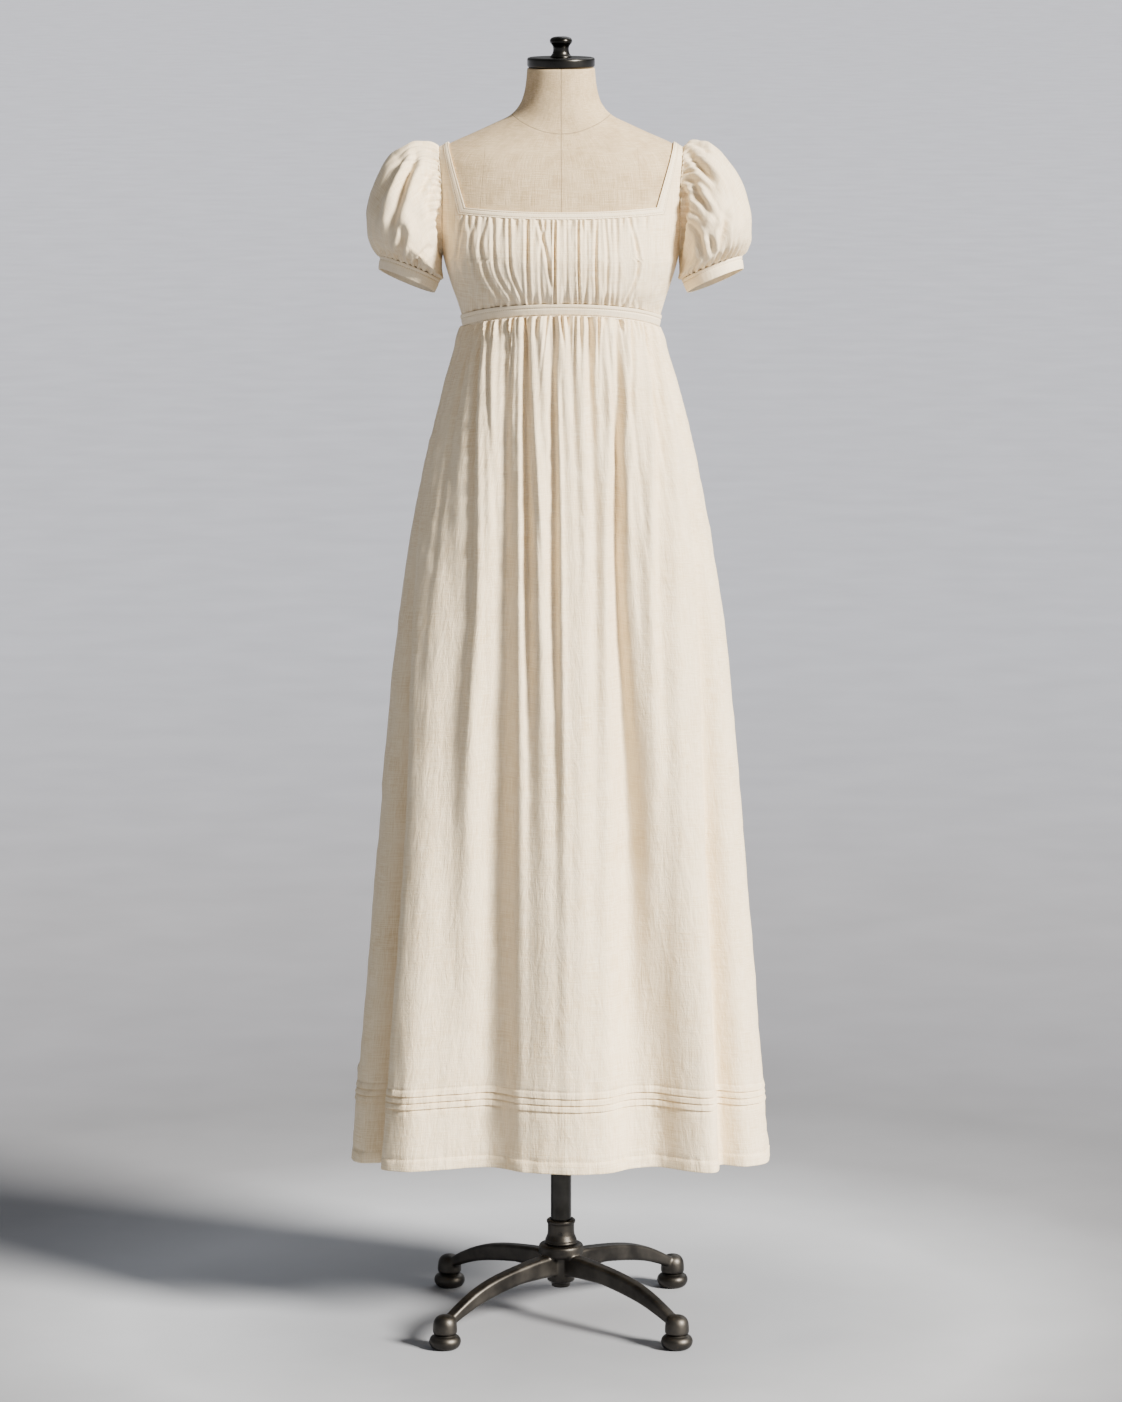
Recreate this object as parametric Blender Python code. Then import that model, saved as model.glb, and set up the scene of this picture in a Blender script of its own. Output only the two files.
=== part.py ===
"""Regency gown on a limbless dress form with a cast four-legged stand.

A high-waisted cotton and linen gown of about 1805: square neck, short puffed sleeves,
gathered bodice front, narrow waistband under the bust and a long gathered skirt with
three tucks above the hem.  It is worn by a linen-covered form on a steel pole.

Metres, +Z up.  The origin is on the floor on the pole's axis and the front faces -Y.
+X is the right of someone facing the front, and left and right in names are theirs.
"""

import math
from collections import namedtuple

import bmesh
import bpy
from mathutils import Vector

# ---------------------------------------------------------------- driving dimensions
SEAM = 0.0003            # gap kept between pieces that are sewn or fitted together
CLOTH = 0.0014           # wall of the gown's cloth
BAND_CLOTH = 0.0021      # wall of bindings, waistband and cuffs, which are folded double
WEAR = 0.0018            # middle of the worn cloth above the form's surface

KNOB_TOP = 1.740         # top of the finial, the highest point
FORM_TOP = 1.7012        # top of the neck
FORM_FOOT = 0.845        # flat underside of the form's body

NECK_CORNER = (0.1244, 1.523)       # inner corner of the square neck at the front
NECK_DROP = 0.005                   # how far the front neckline dips in the middle
BACK_CORNER = (0.1280, 1.545)       # the same corner at the back
STRAP_TOP = 0.1475                  # inner edge of the strap on the shoulder
BINDING_WIDTH = 0.009
BINDING_AT_SHOULDER = 0.0070
ARMHOLE_X = 0.154                   # plane of the armhole
ARMHOLE_LEAN = 0.007                # how far its top leans out to the shoulder
ARMHOLE_GAP = 0.0016                # the sleeve's edge beyond the bodice's cut edge

BAND_SIDE_TOP = 1.3745              # top edge of the waistband at the side seams
BAND_RISE = 0.0266                  # how much higher it sits under the bust
BAND_HEIGHT = 0.0165

HEM_SIDE = 0.2325                   # height of the hem above the floor at the sides
HEM_RISE = 0.010                    # and how much higher at the centre front
TUCK_COUNT = 3
TUCK_HEIGHT = 0.0088
TUCK_STEP = 0.0017                  # how far a tuck's lower fold stands off
TUCK_ABOVE_HEM = 0.084              # lowest tuck fold above the hem edge
HEM_TURN = 0.016                    # depth of the turned and stitched hem

CUFF_DEPTH = 0.0430                 # half of the cuff ring, front to back

BUST_EASE = 0.0055                  # how far the gathered front stands off the form
BAND_STAND = 0.0034                 # middle of the waistband above the form's surface
BODICE_GATHERS = (-0.0004, 0.0011)  # heights of neighbouring gathers of the bodice
GATHERS = (-0.0012, 0.0014)         # the same on the skirt and the sleeves

FRONT_COLUMNS = 11                  # facets of half a bodice panel beside its straps
BACK_COLUMNS = 6
STRAP_ROWS = 8
SKIRT_COLUMNS = 40                  # two to each gather
SLEEVE_COLUMNS = 24

POLE_RADIUS = 0.01415
SOCKET_TOP = 0.1380
HUB_TOP = 0.1040
FOOT_SPREAD = 0.1555                # feet at plus and minus this in X and Y
FOOT_REACH = FOOT_SPREAD * math.sqrt(2)

# ------------------------------------------------------------------- section tables
# The dress form, from its neck down: half width, depth to the front and to the back
# of the pole's axis, and squareness, where 2 is an ellipse.
FormRow = namedtuple("FormRow", "z half_width front back squareness")
FORM = [
    FormRow(FORM_TOP, 0.0445, 0.0445, 0.0445, 2.0),
    FormRow(1.680, 0.0465, 0.0462, 0.0465, 2.0),
    FormRow(1.660, 0.0512, 0.0492, 0.0510, 2.0),
    FormRow(1.648, 0.0580, 0.0512, 0.0545, 2.0),
    FormRow(1.638, 0.0685, 0.0530, 0.0585, 2.0),
    FormRow(1.628, 0.0890, 0.0555, 0.0630, 2.0),
    FormRow(1.616, 0.1150, 0.0610, 0.0690, 2.0),
    FormRow(1.602, 0.1465, 0.0700, 0.0760, 2.0),
    FormRow(1.592, 0.1630, 0.0765, 0.0810, 2.1),
    FormRow(1.578, 0.1710, 0.0835, 0.0870, 2.2),
    FormRow(1.555, 0.1720, 0.0915, 0.0945, 2.3),
    FormRow(1.520, 0.1680, 0.1010, 0.1010, 2.4),
    FormRow(1.485, 0.1610, 0.1120, 0.1040, 2.4),
    FormRow(1.450, 0.1525, 0.1210, 0.1040, 2.4),
    FormRow(1.420, 0.1440, 0.1185, 0.1025, 2.35),
    FormRow(1.392, 0.1345, 0.1075, 0.0995, 2.3),
    FormRow(1.365, 0.1270, 0.0990, 0.0950, 2.2),
    FormRow(1.320, 0.1190, 0.0930, 0.0890, 2.1),
    FormRow(1.270, 0.1150, 0.0880, 0.0860, 2.1),
    FormRow(1.180, 0.1350, 0.0960, 0.1010, 2.2),
    FormRow(1.090, 0.1590, 0.1030, 0.1210, 2.3),
    FormRow(1.000, 0.1640, 0.1030, 0.1200, 2.3),
    FormRow(FORM_FOOT, 0.1540, 0.0960, 0.1060, 2.3),
]

# The skirt without its folds, as fractions of its length down from the waistband.
SkirtRow = namedtuple("SkirtRow", "down half_width front back squareness")
SKIRT = [
    SkirtRow(0.000, 0.1312, 0.1110, 0.1010, 2.20),
    SkirtRow(0.030, 0.1410, 0.1170, 0.1090, 2.25),
    SkirtRow(0.070, 0.1540, 0.1210, 0.1180, 2.30),
    SkirtRow(0.160, 0.1790, 0.1270, 0.1310, 2.35),
    SkirtRow(0.300, 0.2050, 0.1330, 0.1440, 2.45),
    SkirtRow(0.500, 0.2310, 0.1390, 0.1540, 2.60),
    SkirtRow(0.750, 0.2580, 0.1455, 0.1620, 2.75),
    SkirtRow(1.000, 0.2820, 0.1500, 0.1670, 2.90),
]

# The largest folds of the skirt.  Bearings are degrees from the centre front, plus
# to +X; a fold runs from one bearing at the waistband to another at the hem, keeps
# to the latter for more of its length the higher its drift, and has a half width in
# degrees and a height at the hem, minus for a trough.
Fold = namedtuple("Fold", "at_waist at_hem drift half_width height")
FOLDS = [
    Fold(-90, -54, 3.0, 6.5, 0.008),
    Fold(-100, -63, 3.0, 6.5, -0.024),
    Fold(-110, -78, 2.0, 9.0, 0.004),
    Fold(-52, -39, 1.5, 9.0, 0.013),
    Fold(-22, -14, 1.5, 8.0, -0.020),
    Fold(1, 1.5, 1.0, 8.5, 0.016),
    Fold(17, 17.5, 1.0, 8.0, -0.021),
    Fold(40, 34, 1.0, 9.0, 0.012),
    Fold(64, 44, 1.4, 5.5, 0.007),
    Fold(72, 52, 1.4, 6.5, -0.022),
    Fold(96, 72, 1.6, 9.0, 0.004),
    Fold(108, 100, 1.0, 7.5, -0.012),
    Fold(130, 121, 1.0, 9.0, 0.010),
    Fold(146, 141, 1.0, 7.5, -0.016),
    Fold(160, 158, 1.0, 8.0, 0.011),
    Fold(171, 173, 1.0, 6.5, -0.013),
    Fold(-176, -172, 1.0, 8.0, 0.010),
    Fold(-160, -156, 1.0, 7.5, -0.017),
    Fold(-144, -139, 1.0, 9.0, 0.011),
    Fold(-128, -120, 1.0, 7.5, -0.014),
    Fold(-112, -104, 1.0, 7.0, 0.007),
]

# A puffed sleeve as rings that turn about the underarm: the outermost and innermost
# point of each ring, seen from the front, and its half depth from front to back.
SleeveRow = namedtuple("SleeveRow", "along out_x out_z in_x in_z half_depth")
SLEEVE = [
    SleeveRow(0.00, 0.1610, 1.6000, 0.1565, 1.4560, 0.0480),
    SleeveRow(0.05, 0.1720, 1.6070, 0.1572, 1.4500, 0.0560),
    SleeveRow(0.12, 0.1900, 1.6045, 0.1576, 1.4460, 0.0670),
    SleeveRow(0.22, 0.2100, 1.5960, 0.1578, 1.4410, 0.0780),
    SleeveRow(0.32, 0.2265, 1.5810, 0.1580, 1.4370, 0.0845),
    SleeveRow(0.44, 0.2415, 1.5570, 0.1580, 1.4330, 0.0885),
    SleeveRow(0.56, 0.2515, 1.5310, 0.1575, 1.4290, 0.0890),
    SleeveRow(0.68, 0.2565, 1.5060, 0.1570, 1.4262, 0.0855),
    SleeveRow(0.80, 0.2545, 1.4790, 0.1565, 1.4238, 0.0760),
    SleeveRow(0.91, 0.2470, 1.4625, 0.1572, 1.4226, 0.0590),
    SleeveRow(1.00, 0.2390, 1.4528, 0.1612, 1.4225, CUFF_DEPTH),
]
CUFF_TOP = ((0.2390, 1.4515), (0.1612, 1.4209))       # outer and inner point
CUFF_BOTTOM = ((0.2412, 1.4350), (0.1688, 1.4048))

# One leg of the stand, from the hub out along the floor.
LegRow = namedtuple("LegRow", "reach top underside width")
LEG = [
    LegRow(0.008, 0.0905, 0.0600, 0.0205),
    LegRow(0.040, 0.0900, 0.0620, 0.0200),
    LegRow(0.075, 0.0870, 0.0625, 0.0195),
    LegRow(0.105, 0.0832, 0.0592, 0.0190),
    LegRow(0.135, 0.0775, 0.0540, 0.0185),
    LegRow(0.160, 0.0700, 0.0482, 0.0180),
    LegRow(0.183, 0.0600, 0.0405, 0.0175),
    LegRow(0.202, 0.0500, 0.0330, 0.0170),
    LegRow(0.219, 0.0400, 0.0262, 0.0165),
]
LEG_CHAMFER = 0.0030
LEG_STEPS = 10

# Turned pieces as (radius, z) down their outer side.
KNOB = [(0.0000, KNOB_TOP), (0.0085, KNOB_TOP - 0.0008), (0.0132, 1.7372), (0.0148, 1.7343),
        (0.0140, 1.7318), (0.0095, 1.7296), (0.0078, 1.7268), (0.0078, 1.7225),
        (0.0092, 1.7195), (0.0118, 1.7178), (0.0122, 1.7164), (0.0112, 1.7153),
        (0.0000, 1.7153)]
CAP = [(0.0000, 1.7150), (0.0418, 1.7150), (0.0440, 1.7141), (0.0448, 1.7125),
       (0.0448, 1.7040), (0.0436, 1.7024), (0.0420, FORM_TOP + SEAM),
       (0.0000, FORM_TOP + SEAM)]
SOCKET_BORE = POLE_RADIUS + SEAM
SOCKET = [(SOCKET_BORE, SOCKET_TOP), (0.0178, SOCKET_TOP), (0.0194, 0.1368), (0.0198, 0.1350),
          (0.0193, 0.1330), (0.0181, 0.1316), (0.0181, 0.1215), (0.0187, 0.1165),
          (0.0208, 0.1112), (0.0218, 0.1092), (0.0212, 0.1080), (0.0222, 0.1068),
          (0.0222, 0.1050), (0.0210, HUB_TOP + SEAM), (SOCKET_BORE, HUB_TOP + SEAM)]
HUB = [(0.0000, HUB_TOP), (0.0262, HUB_TOP), (0.0293, 0.1028), (0.0305, 0.1000),
       (0.0305, 0.0905), (0.0285, 0.0880), (0.0205, 0.0865), (0.0190, 0.0840),
       (0.0190, 0.0530), (0.0182, 0.0512), (0.0140, 0.0508), (0.0132, 0.0490),
       (0.0130, 0.0445), (0.0118, 0.0430), (0.0000, 0.0430)]
ANKLE = [(0.0000, 0.0465), (0.0070, 0.0455), (0.0125, 0.0425), (0.0155, 0.0370),
         (0.0163, 0.0300), (0.0165, 0.0225), (0.0158, 0.0203), (0.0000, 0.0203)]
FOOT = [(0.0000, 0.0200), (0.0138, 0.0200), (0.0150, 0.0186), (0.0192, 0.0162),
        (0.0214, 0.0120), (0.0214, 0.0080), (0.0196, 0.0034), (0.0160, 0.0000),
        (0.0000, 0.0000)]


# --------------------------------------------------------------------- small helpers
def clear_scene():
    for obj in list(bpy.data.objects):
        bpy.data.objects.remove(obj, do_unlink=True)


def material(name, colour, roughness, metallic=0.0):
    mat = bpy.data.materials.get(name) or bpy.data.materials.new(name)
    mat.use_nodes = True
    shader = mat.node_tree.nodes["Principled BSDF"]
    shader.inputs["Base Color"].default_value = (*colour, 1.0)
    shader.inputs["Roughness"].default_value = roughness
    shader.inputs["Metallic"].default_value = metallic
    return mat


def finish_object(name, bm, mat, smooth_angle=40.0):
    """Turn a bmesh into a named object with outward faces."""
    bmesh.ops.recalc_face_normals(bm, faces=bm.faces[:])
    mesh = bpy.data.meshes.new(name)
    bm.to_mesh(mesh)
    bm.free()
    mesh.materials.append(mat)
    mesh.shade_smooth()
    mesh.set_sharp_from_angle(angle=math.radians(smooth_angle))
    obj = bpy.data.objects.new(name, mesh)
    bpy.context.scene.collection.objects.link(obj)
    return obj


def slopes(xs, ys):
    """Slopes of a smooth curve through points that never overshoots them."""
    steps = [(ys[i + 1] - ys[i]) / (xs[i + 1] - xs[i]) for i in range(len(xs) - 1)]
    result = [steps[0]]
    for before, after in zip(steps, steps[1:]):
        together = before * after > 0
        result.append(2 * before * after / (before + after) if together else 0.0)
    return result + [steps[-1]]


class Curves:
    """Smooth curves through the columns of a table, read at its first column."""

    def __init__(self, rows):
        rows = sorted(rows, key=lambda row: row[0])
        self.at = [row[0] for row in rows]
        self.columns = [[row[k] for row in rows] for k in range(1, len(rows[0]))]
        self.slopes = [slopes(self.at, column) for column in self.columns]

    def __call__(self, where):
        at = self.at
        where = min(max(where, at[0]), at[-1])
        i = 0
        while i < len(at) - 2 and where > at[i + 1]:
            i += 1
        span = at[i + 1] - at[i]
        t = (where - at[i]) / span
        h00, h10 = (1 + 2 * t) * (1 - t) ** 2, t * (1 - t) ** 2
        h01, h11 = t * t * (3 - 2 * t), t * t * (t - 1)
        return [h00 * c[i] + h10 * span * m[i] + h01 * c[i + 1] + h11 * span * m[i + 1]
                for c, m in zip(self.columns, self.slopes)]


def mix(a, b, t):
    return a + (b - a) * t


def ease(t):
    t = min(max(t, 0.0), 1.0)
    return t * t * (3 - 2 * t)


def power(value, exponent):
    return math.copysign(abs(value) ** exponent, value)


# -------------------------------------------------------------- the form's surface
form_curves = Curves(FORM)


def form_depth(x, z, side):
    """Y of the form's surface at x and z, on the front (-1) or the back (+1)."""
    half, front, back, n = form_curves(z)
    depth = front if side < 0 else back
    return side * depth * max(0.0, 1 - (abs(x) / half) ** n) ** (1 / n)


def form_level(x, y, z):
    half, front, back, n = form_curves(z)
    depth = front if y < 0 else back
    return (abs(x) / half) ** n + (abs(y) / depth) ** n


def form_normal(p):
    step = 1e-5
    grad = Vector((form_level(p.x + step, p.y, p.z) - form_level(p.x - step, p.y, p.z),
                   form_level(p.x, p.y + step, p.z) - form_level(p.x, p.y - step, p.z),
                   form_level(p.x, p.y, p.z + step) - form_level(p.x, p.y, p.z - step)))
    return grad.normalized()


def ridge_height(x_at):
    """Height where the shoulder line passes over a line x = x_at(z)."""
    low, high = 1.560, 1.640
    for _ in range(40):
        z = (low + high) / 2
        low, high = (z, high) if form_curves(z)[0] > x_at(z) else (low, z)
    return low


def armhole_x(z):
    return ARMHOLE_X + ARMHOLE_LEAN * max(0.0, (z - 1.530) / 0.070) ** 2


def form_turn(turn, z, side):
    """A point and its normal on the form, `turn` of the way from centre to side.

    The side is the side seam below the armhole, and the armhole's edge above its foot.
    """
    half, front, back, n = form_curves(z)
    reach = min(half, armhole_x(z))
    widest = math.asin(min(1.0, (reach / half) ** (n / 2)))
    angle = abs(turn) * widest
    x = half * math.sin(angle) ** (2 / n)
    if abs(turn) > 0.9999 and reach == half:
        point = Vector((half, side * SEAM / 2, z))
        normal = form_normal(Vector((half, 0.0, z)))
    else:
        point = Vector((x, form_depth(x, z, side), z))
        normal = form_normal(point)
    if turn < 0:
        point.x, normal.x = -point.x, -normal.x
    return point, normal


# -------------------------------------------------------------------- sheets to walls
def thicken(bm, points, normals, faces, wall):
    """A closed wall about a sheet: both faces of the cloth and its cut edges."""
    outer = [bm.verts.new(p + n * wall / 2) for p, n in zip(points, normals)]
    inner = [bm.verts.new(p - n * wall / 2) for p, n in zip(points, normals)]
    edges = {}
    for face in faces:
        bm.faces.new([outer[i] for i in face])
        bm.faces.new([inner[i] for i in reversed(face)])
        for a, b in zip(face, face[1:] + face[:1]):
            edges[(a, b)] = (b, a) not in edges
            if not edges[(a, b)]:
                edges[(b, a)] = False
    for (a, b), free in edges.items():
        if free:
            bm.faces.new([outer[b], outer[a], inner[a], inner[b]])


def wall_faces(bm, outer, inner, closed=False):
    """Both faces of a wall of cloth.

    Each cell is split along the same diagonal on both, so that they stay apart where
    the cloth twists.
    """
    for rows, order in ((outer, 1), (inner, -1)):
        for upper, lower in zip(rows, rows[1:]):
            count = len(upper)
            for k in range(count if closed else count - 1):
                m = (k + 1) % count
                bm.faces.new([upper[k], upper[m], lower[m]][::order])
                bm.faces.new([upper[k], lower[m], lower[k]][::order])


def zip_edges(bm, first, second):
    """Close the gap between two columns of vertices that need not match in number."""
    i = j = 0
    while i < len(first) - 1 or j < len(second) - 1:
        next_first = first[i + 1].co.z if i < len(first) - 1 else -math.inf
        next_second = second[j + 1].co.z if j < len(second) - 1 else -math.inf
        if next_first >= next_second:
            bm.faces.new([first[i], first[i + 1], second[j]])
            i += 1
        else:
            bm.faces.new([first[i], second[j + 1], second[j]])
            j += 1


def grid_faces(bm, rows, closed=False):
    for upper, lower in zip(rows, rows[1:]):
        count = len(upper)
        for k in range(count if closed else count - 1):
            m = (k + 1) % count
            bm.faces.new([upper[k], upper[m], lower[m], lower[k]])


def turned(name, profile, mat, centre=(0.0, 0.0), segments=32, bored=False):
    """A turned piece; a bored one is a tube whose profile closes on itself."""
    bm = bmesh.new()
    rings = []
    for radius, z in profile:
        if radius == 0.0:
            rings.append([bm.verts.new((centre[0], centre[1], z))])
            continue
        turns = [2 * math.pi * k / segments for k in range(segments)]
        rings.append([bm.verts.new((centre[0] + radius * math.cos(a),
                                    centre[1] + radius * math.sin(a), z)) for a in turns])
    pairs = list(zip(rings, rings[1:]))
    if bored:
        pairs.append((rings[-1], rings[0]))
    for upper, lower in pairs:
        for k in range(segments):
            m = (k + 1) % segments
            corners = [upper[k % len(upper)], upper[m % len(upper)],
                       lower[m % len(lower)], lower[k % len(lower)]]
            unique = list(dict.fromkeys(corners))
            bm.faces.new(unique)
    return finish_object(name, bm, mat)


# ------------------------------------------------------------------- form and stand
def make_form(mat):
    segments = 36
    bm = bmesh.new()
    heights = [FORM_TOP - 0.0012, 1.690, 1.672, 1.656, 1.645, 1.636, 1.628, 1.619, 1.610,
               1.602, 1.594, 1.584, 1.566, 1.535, 1.500, 1.465, 1.435, 1.405, 1.375,
               1.325, 1.270, 1.190, 1.100, 1.000, FORM_FOOT]
    rings = []
    for z in heights:
        half, front, back, n = form_curves(z)
        ring = []
        for k in range(segments):
            a = 2 * math.pi * k / segments
            depth = back if math.sin(a) > 0 else front
            ring.append(bm.verts.new((half * power(math.cos(a), 2 / n),
                                      depth * power(math.sin(a), 2 / n), z)))
        rings.append(ring)
    top = [bm.verts.new((v.co.x * 0.97, v.co.y * 0.97, FORM_TOP)) for v in rings[0]]
    rings.insert(0, top)
    grid_faces(bm, rings, closed=True)
    bm.faces.new(rings[0])
    bm.faces.new(rings[-1])
    return finish_object("form_body", bm, mat)


def leg_mesh(bm, bearing):
    """One leg as a loft of chamfered upright sections."""
    curves = Curves(LEG)
    out = Vector((math.cos(bearing), math.sin(bearing), 0))
    across = Vector((-out.y, out.x, 0))
    c = LEG_CHAMFER
    rings = []
    for k in range(LEG_STEPS + 1):
        reach = mix(LEG[0].reach, LEG[-1].reach, k / LEG_STEPS)
        top, under, width = curves(reach)
        w = width / 2
        section = [(-w, under + c), (-w, top - c), (-w + c, top), (w - c, top),
                   (w, top - c), (w, under + c), (w - c, under), (-w + c, under)]
        rings.append([bm.verts.new(out * reach + across * s + Vector((0, 0, z)))
                      for s, z in section])
    grid_faces(bm, rings, closed=True)
    bm.faces.new(rings[0])
    bm.faces.new(rings[-1])


def join_solids(target, tools):
    """Union each tool into the target and hide the tool."""
    for tool in tools:
        union = target.modifiers.new("union", "BOOLEAN")
        union.operation = "UNION"
        union.solver = "EXACT"
        union.object = tool
        tool.hide_render = True
        tool.display_type = "WIRE"


def make_stand(iron, steel):
    hub = turned("base_casting", HUB, iron, segments=24)
    tools = []
    for k in range(4):
        bearing = math.radians(45 + 90 * k)
        bm = bmesh.new()
        leg_mesh(bm, bearing)
        tools.append(finish_object(f"leg_tool_{k}", bm, iron))
        centre = (FOOT_REACH * math.cos(bearing), FOOT_REACH * math.sin(bearing))
        tools.append(turned(f"ankle_tool_{k}", ANKLE, iron, centre, segments=16))
        side = "left" if centre[0] < 0 else "right"
        end = "front" if centre[1] < 0 else "back"
        turned(f"foot_{end}_{side}", FOOT, iron, centre, segments=16)
    join_solids(hub, tools)
    turned("pole_socket", SOCKET, iron, segments=20, bored=True)
    pole = [(0.0, FORM_FOOT - SEAM), (POLE_RADIUS, FORM_FOOT - SEAM),
            (POLE_RADIUS, HUB_TOP + SEAM), (0.0, HUB_TOP + SEAM)]
    turned("pole", pole, steel, segments=24)
    turned("neck_cap", CAP, steel, segments=28)
    turned("neck_knob", KNOB, steel, segments=20)
    make_set_screw(steel)


def make_set_screw(steel):
    """The grub screw that clamps the pole in its socket, facing the front."""
    radius, stand_out, height = 0.0024, 0.0010, 0.1205
    face = -0.0184 - SEAM
    bm = bmesh.new()
    rings = [[bm.verts.new((radius * math.cos(a), y, height + radius * math.sin(a)))
              for a in (2 * math.pi * k / 12 for k in range(12))]
             for y in (face, face - stand_out)]
    grid_faces(bm, rings, closed=True)
    for ring in rings:
        bm.faces.new(ring)
    finish_object("set_screw", bm, steel)


# ---------------------------------------------------------------------- neck binding
def neckline_front(x):
    return NECK_CORNER[1] - NECK_DROP * (1 - (x / NECK_CORNER[0]) ** 2)


def neckline_back(x):
    return BACK_CORNER[1]


def strap_line(corner, at_ridge):
    """x of a strap's edge at height z, straight from its corner to the shoulder."""
    ridge = 1.600
    return lambda z: mix(corner[0], at_ridge, (z - corner[1]) / (ridge - corner[1]))


def binding_corner(corner):
    return corner[0] + BINDING_WIDTH, corner[1] - BINDING_WIDTH


def strap_edges(corner):
    """Inner and outer edge lines of the binding along one end of a strap."""
    inner = strap_line(corner, STRAP_TOP)
    outer = strap_line(binding_corner(corner), STRAP_TOP + BINDING_AT_SHOULDER)
    return inner, outer


def strap_points(line, start_z, side, steps):
    """Points on the form along a strap line, from its corner up to the shoulder."""
    top = ridge_height(line)
    points = []
    for k in range(steps + 1):
        z = mix(start_z, top, math.sin(math.pi / 2 * k / steps))
        x = min(line(z), form_curves(z)[0])
        y = form_depth(x, z, side) if k < steps else 0.0
        points.append(Vector((x, y, z)))
    return points


def neck_share(k, across):
    """Stations along the neckline, closer together towards the corner."""
    return math.sin(1.05 * k / across) / math.sin(1.05)


def binding_half(corner, neckline, side, across, up):
    """Both edges of the binding from the centre to the shoulder, on the +X half."""
    inner_line, outer_line = strap_edges(corner)
    wide = binding_corner(corner)
    inner, outer = [], []
    for k in range(across):
        x = corner[0] * neck_share(k, across)
        z = neckline(x)
        x_low = wide[0] * neck_share(k, across)
        z_low = z - BINDING_WIDTH
        inner.append(Vector((x, form_depth(x, z, side), z)))
        outer.append(Vector((x_low, form_depth(x_low, z_low, side), z_low)))
    inner += strap_points(inner_line, corner[1], side, up)
    outer += strap_points(outer_line, wide[1], side, up)
    return list(zip(inner, outer))


def make_binding(mat):
    front = binding_half(NECK_CORNER, neckline_front, -1, FRONT_COLUMNS, STRAP_ROWS)
    back = binding_half(BACK_CORNER, neckline_back, +1, BACK_COLUMNS, STRAP_ROWS)
    half = back[:-1] + front[::-1]
    mirrored = [(Vector((-a.x, a.y, a.z)), Vector((-b.x, b.y, b.z))) for a, b in half]
    pairs = half + mirrored[::-1][1:]
    points, normals, faces = [], [], []
    for k, (inner, outer) in enumerate(pairs):
        for p in (inner, outer):
            normal = form_normal(p)
            where = p + normal * WEAR
            if k in (0, len(pairs) - 1):
                where.x = SEAM / 2 if k == 0 else -SEAM / 2
                normal.x = 0.0
                normal.normalize()
            points.append(where)
            normals.append(normal)
        if k:
            a = 2 * k
            faces.append([a - 2, a - 1, a + 1, a])
    bm = bmesh.new()
    thicken(bm, points, normals, faces, BAND_CLOTH)
    finish_object("neck_binding", bm, mat)


# ---------------------------------------------------------------- waistband and bodice
def armhole_foot():
    """Height under the arm where the armhole's plane leaves the form."""
    low, high = 1.430, 1.500
    for _ in range(40):
        z = (low + high) / 2
        low, high = (z, high) if form_curves(z)[0] < armhole_x(z) else (low, z)
    return low


def band_top(turn):
    """Height of the waistband's top edge; turn is 0 at the centre front, 1 at the side."""
    return BAND_SIDE_TOP + BAND_RISE * max(0.0, math.cos(turn * math.pi / 2)) ** 1.3


def band_back(turn):
    return BAND_SIDE_TOP


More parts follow.
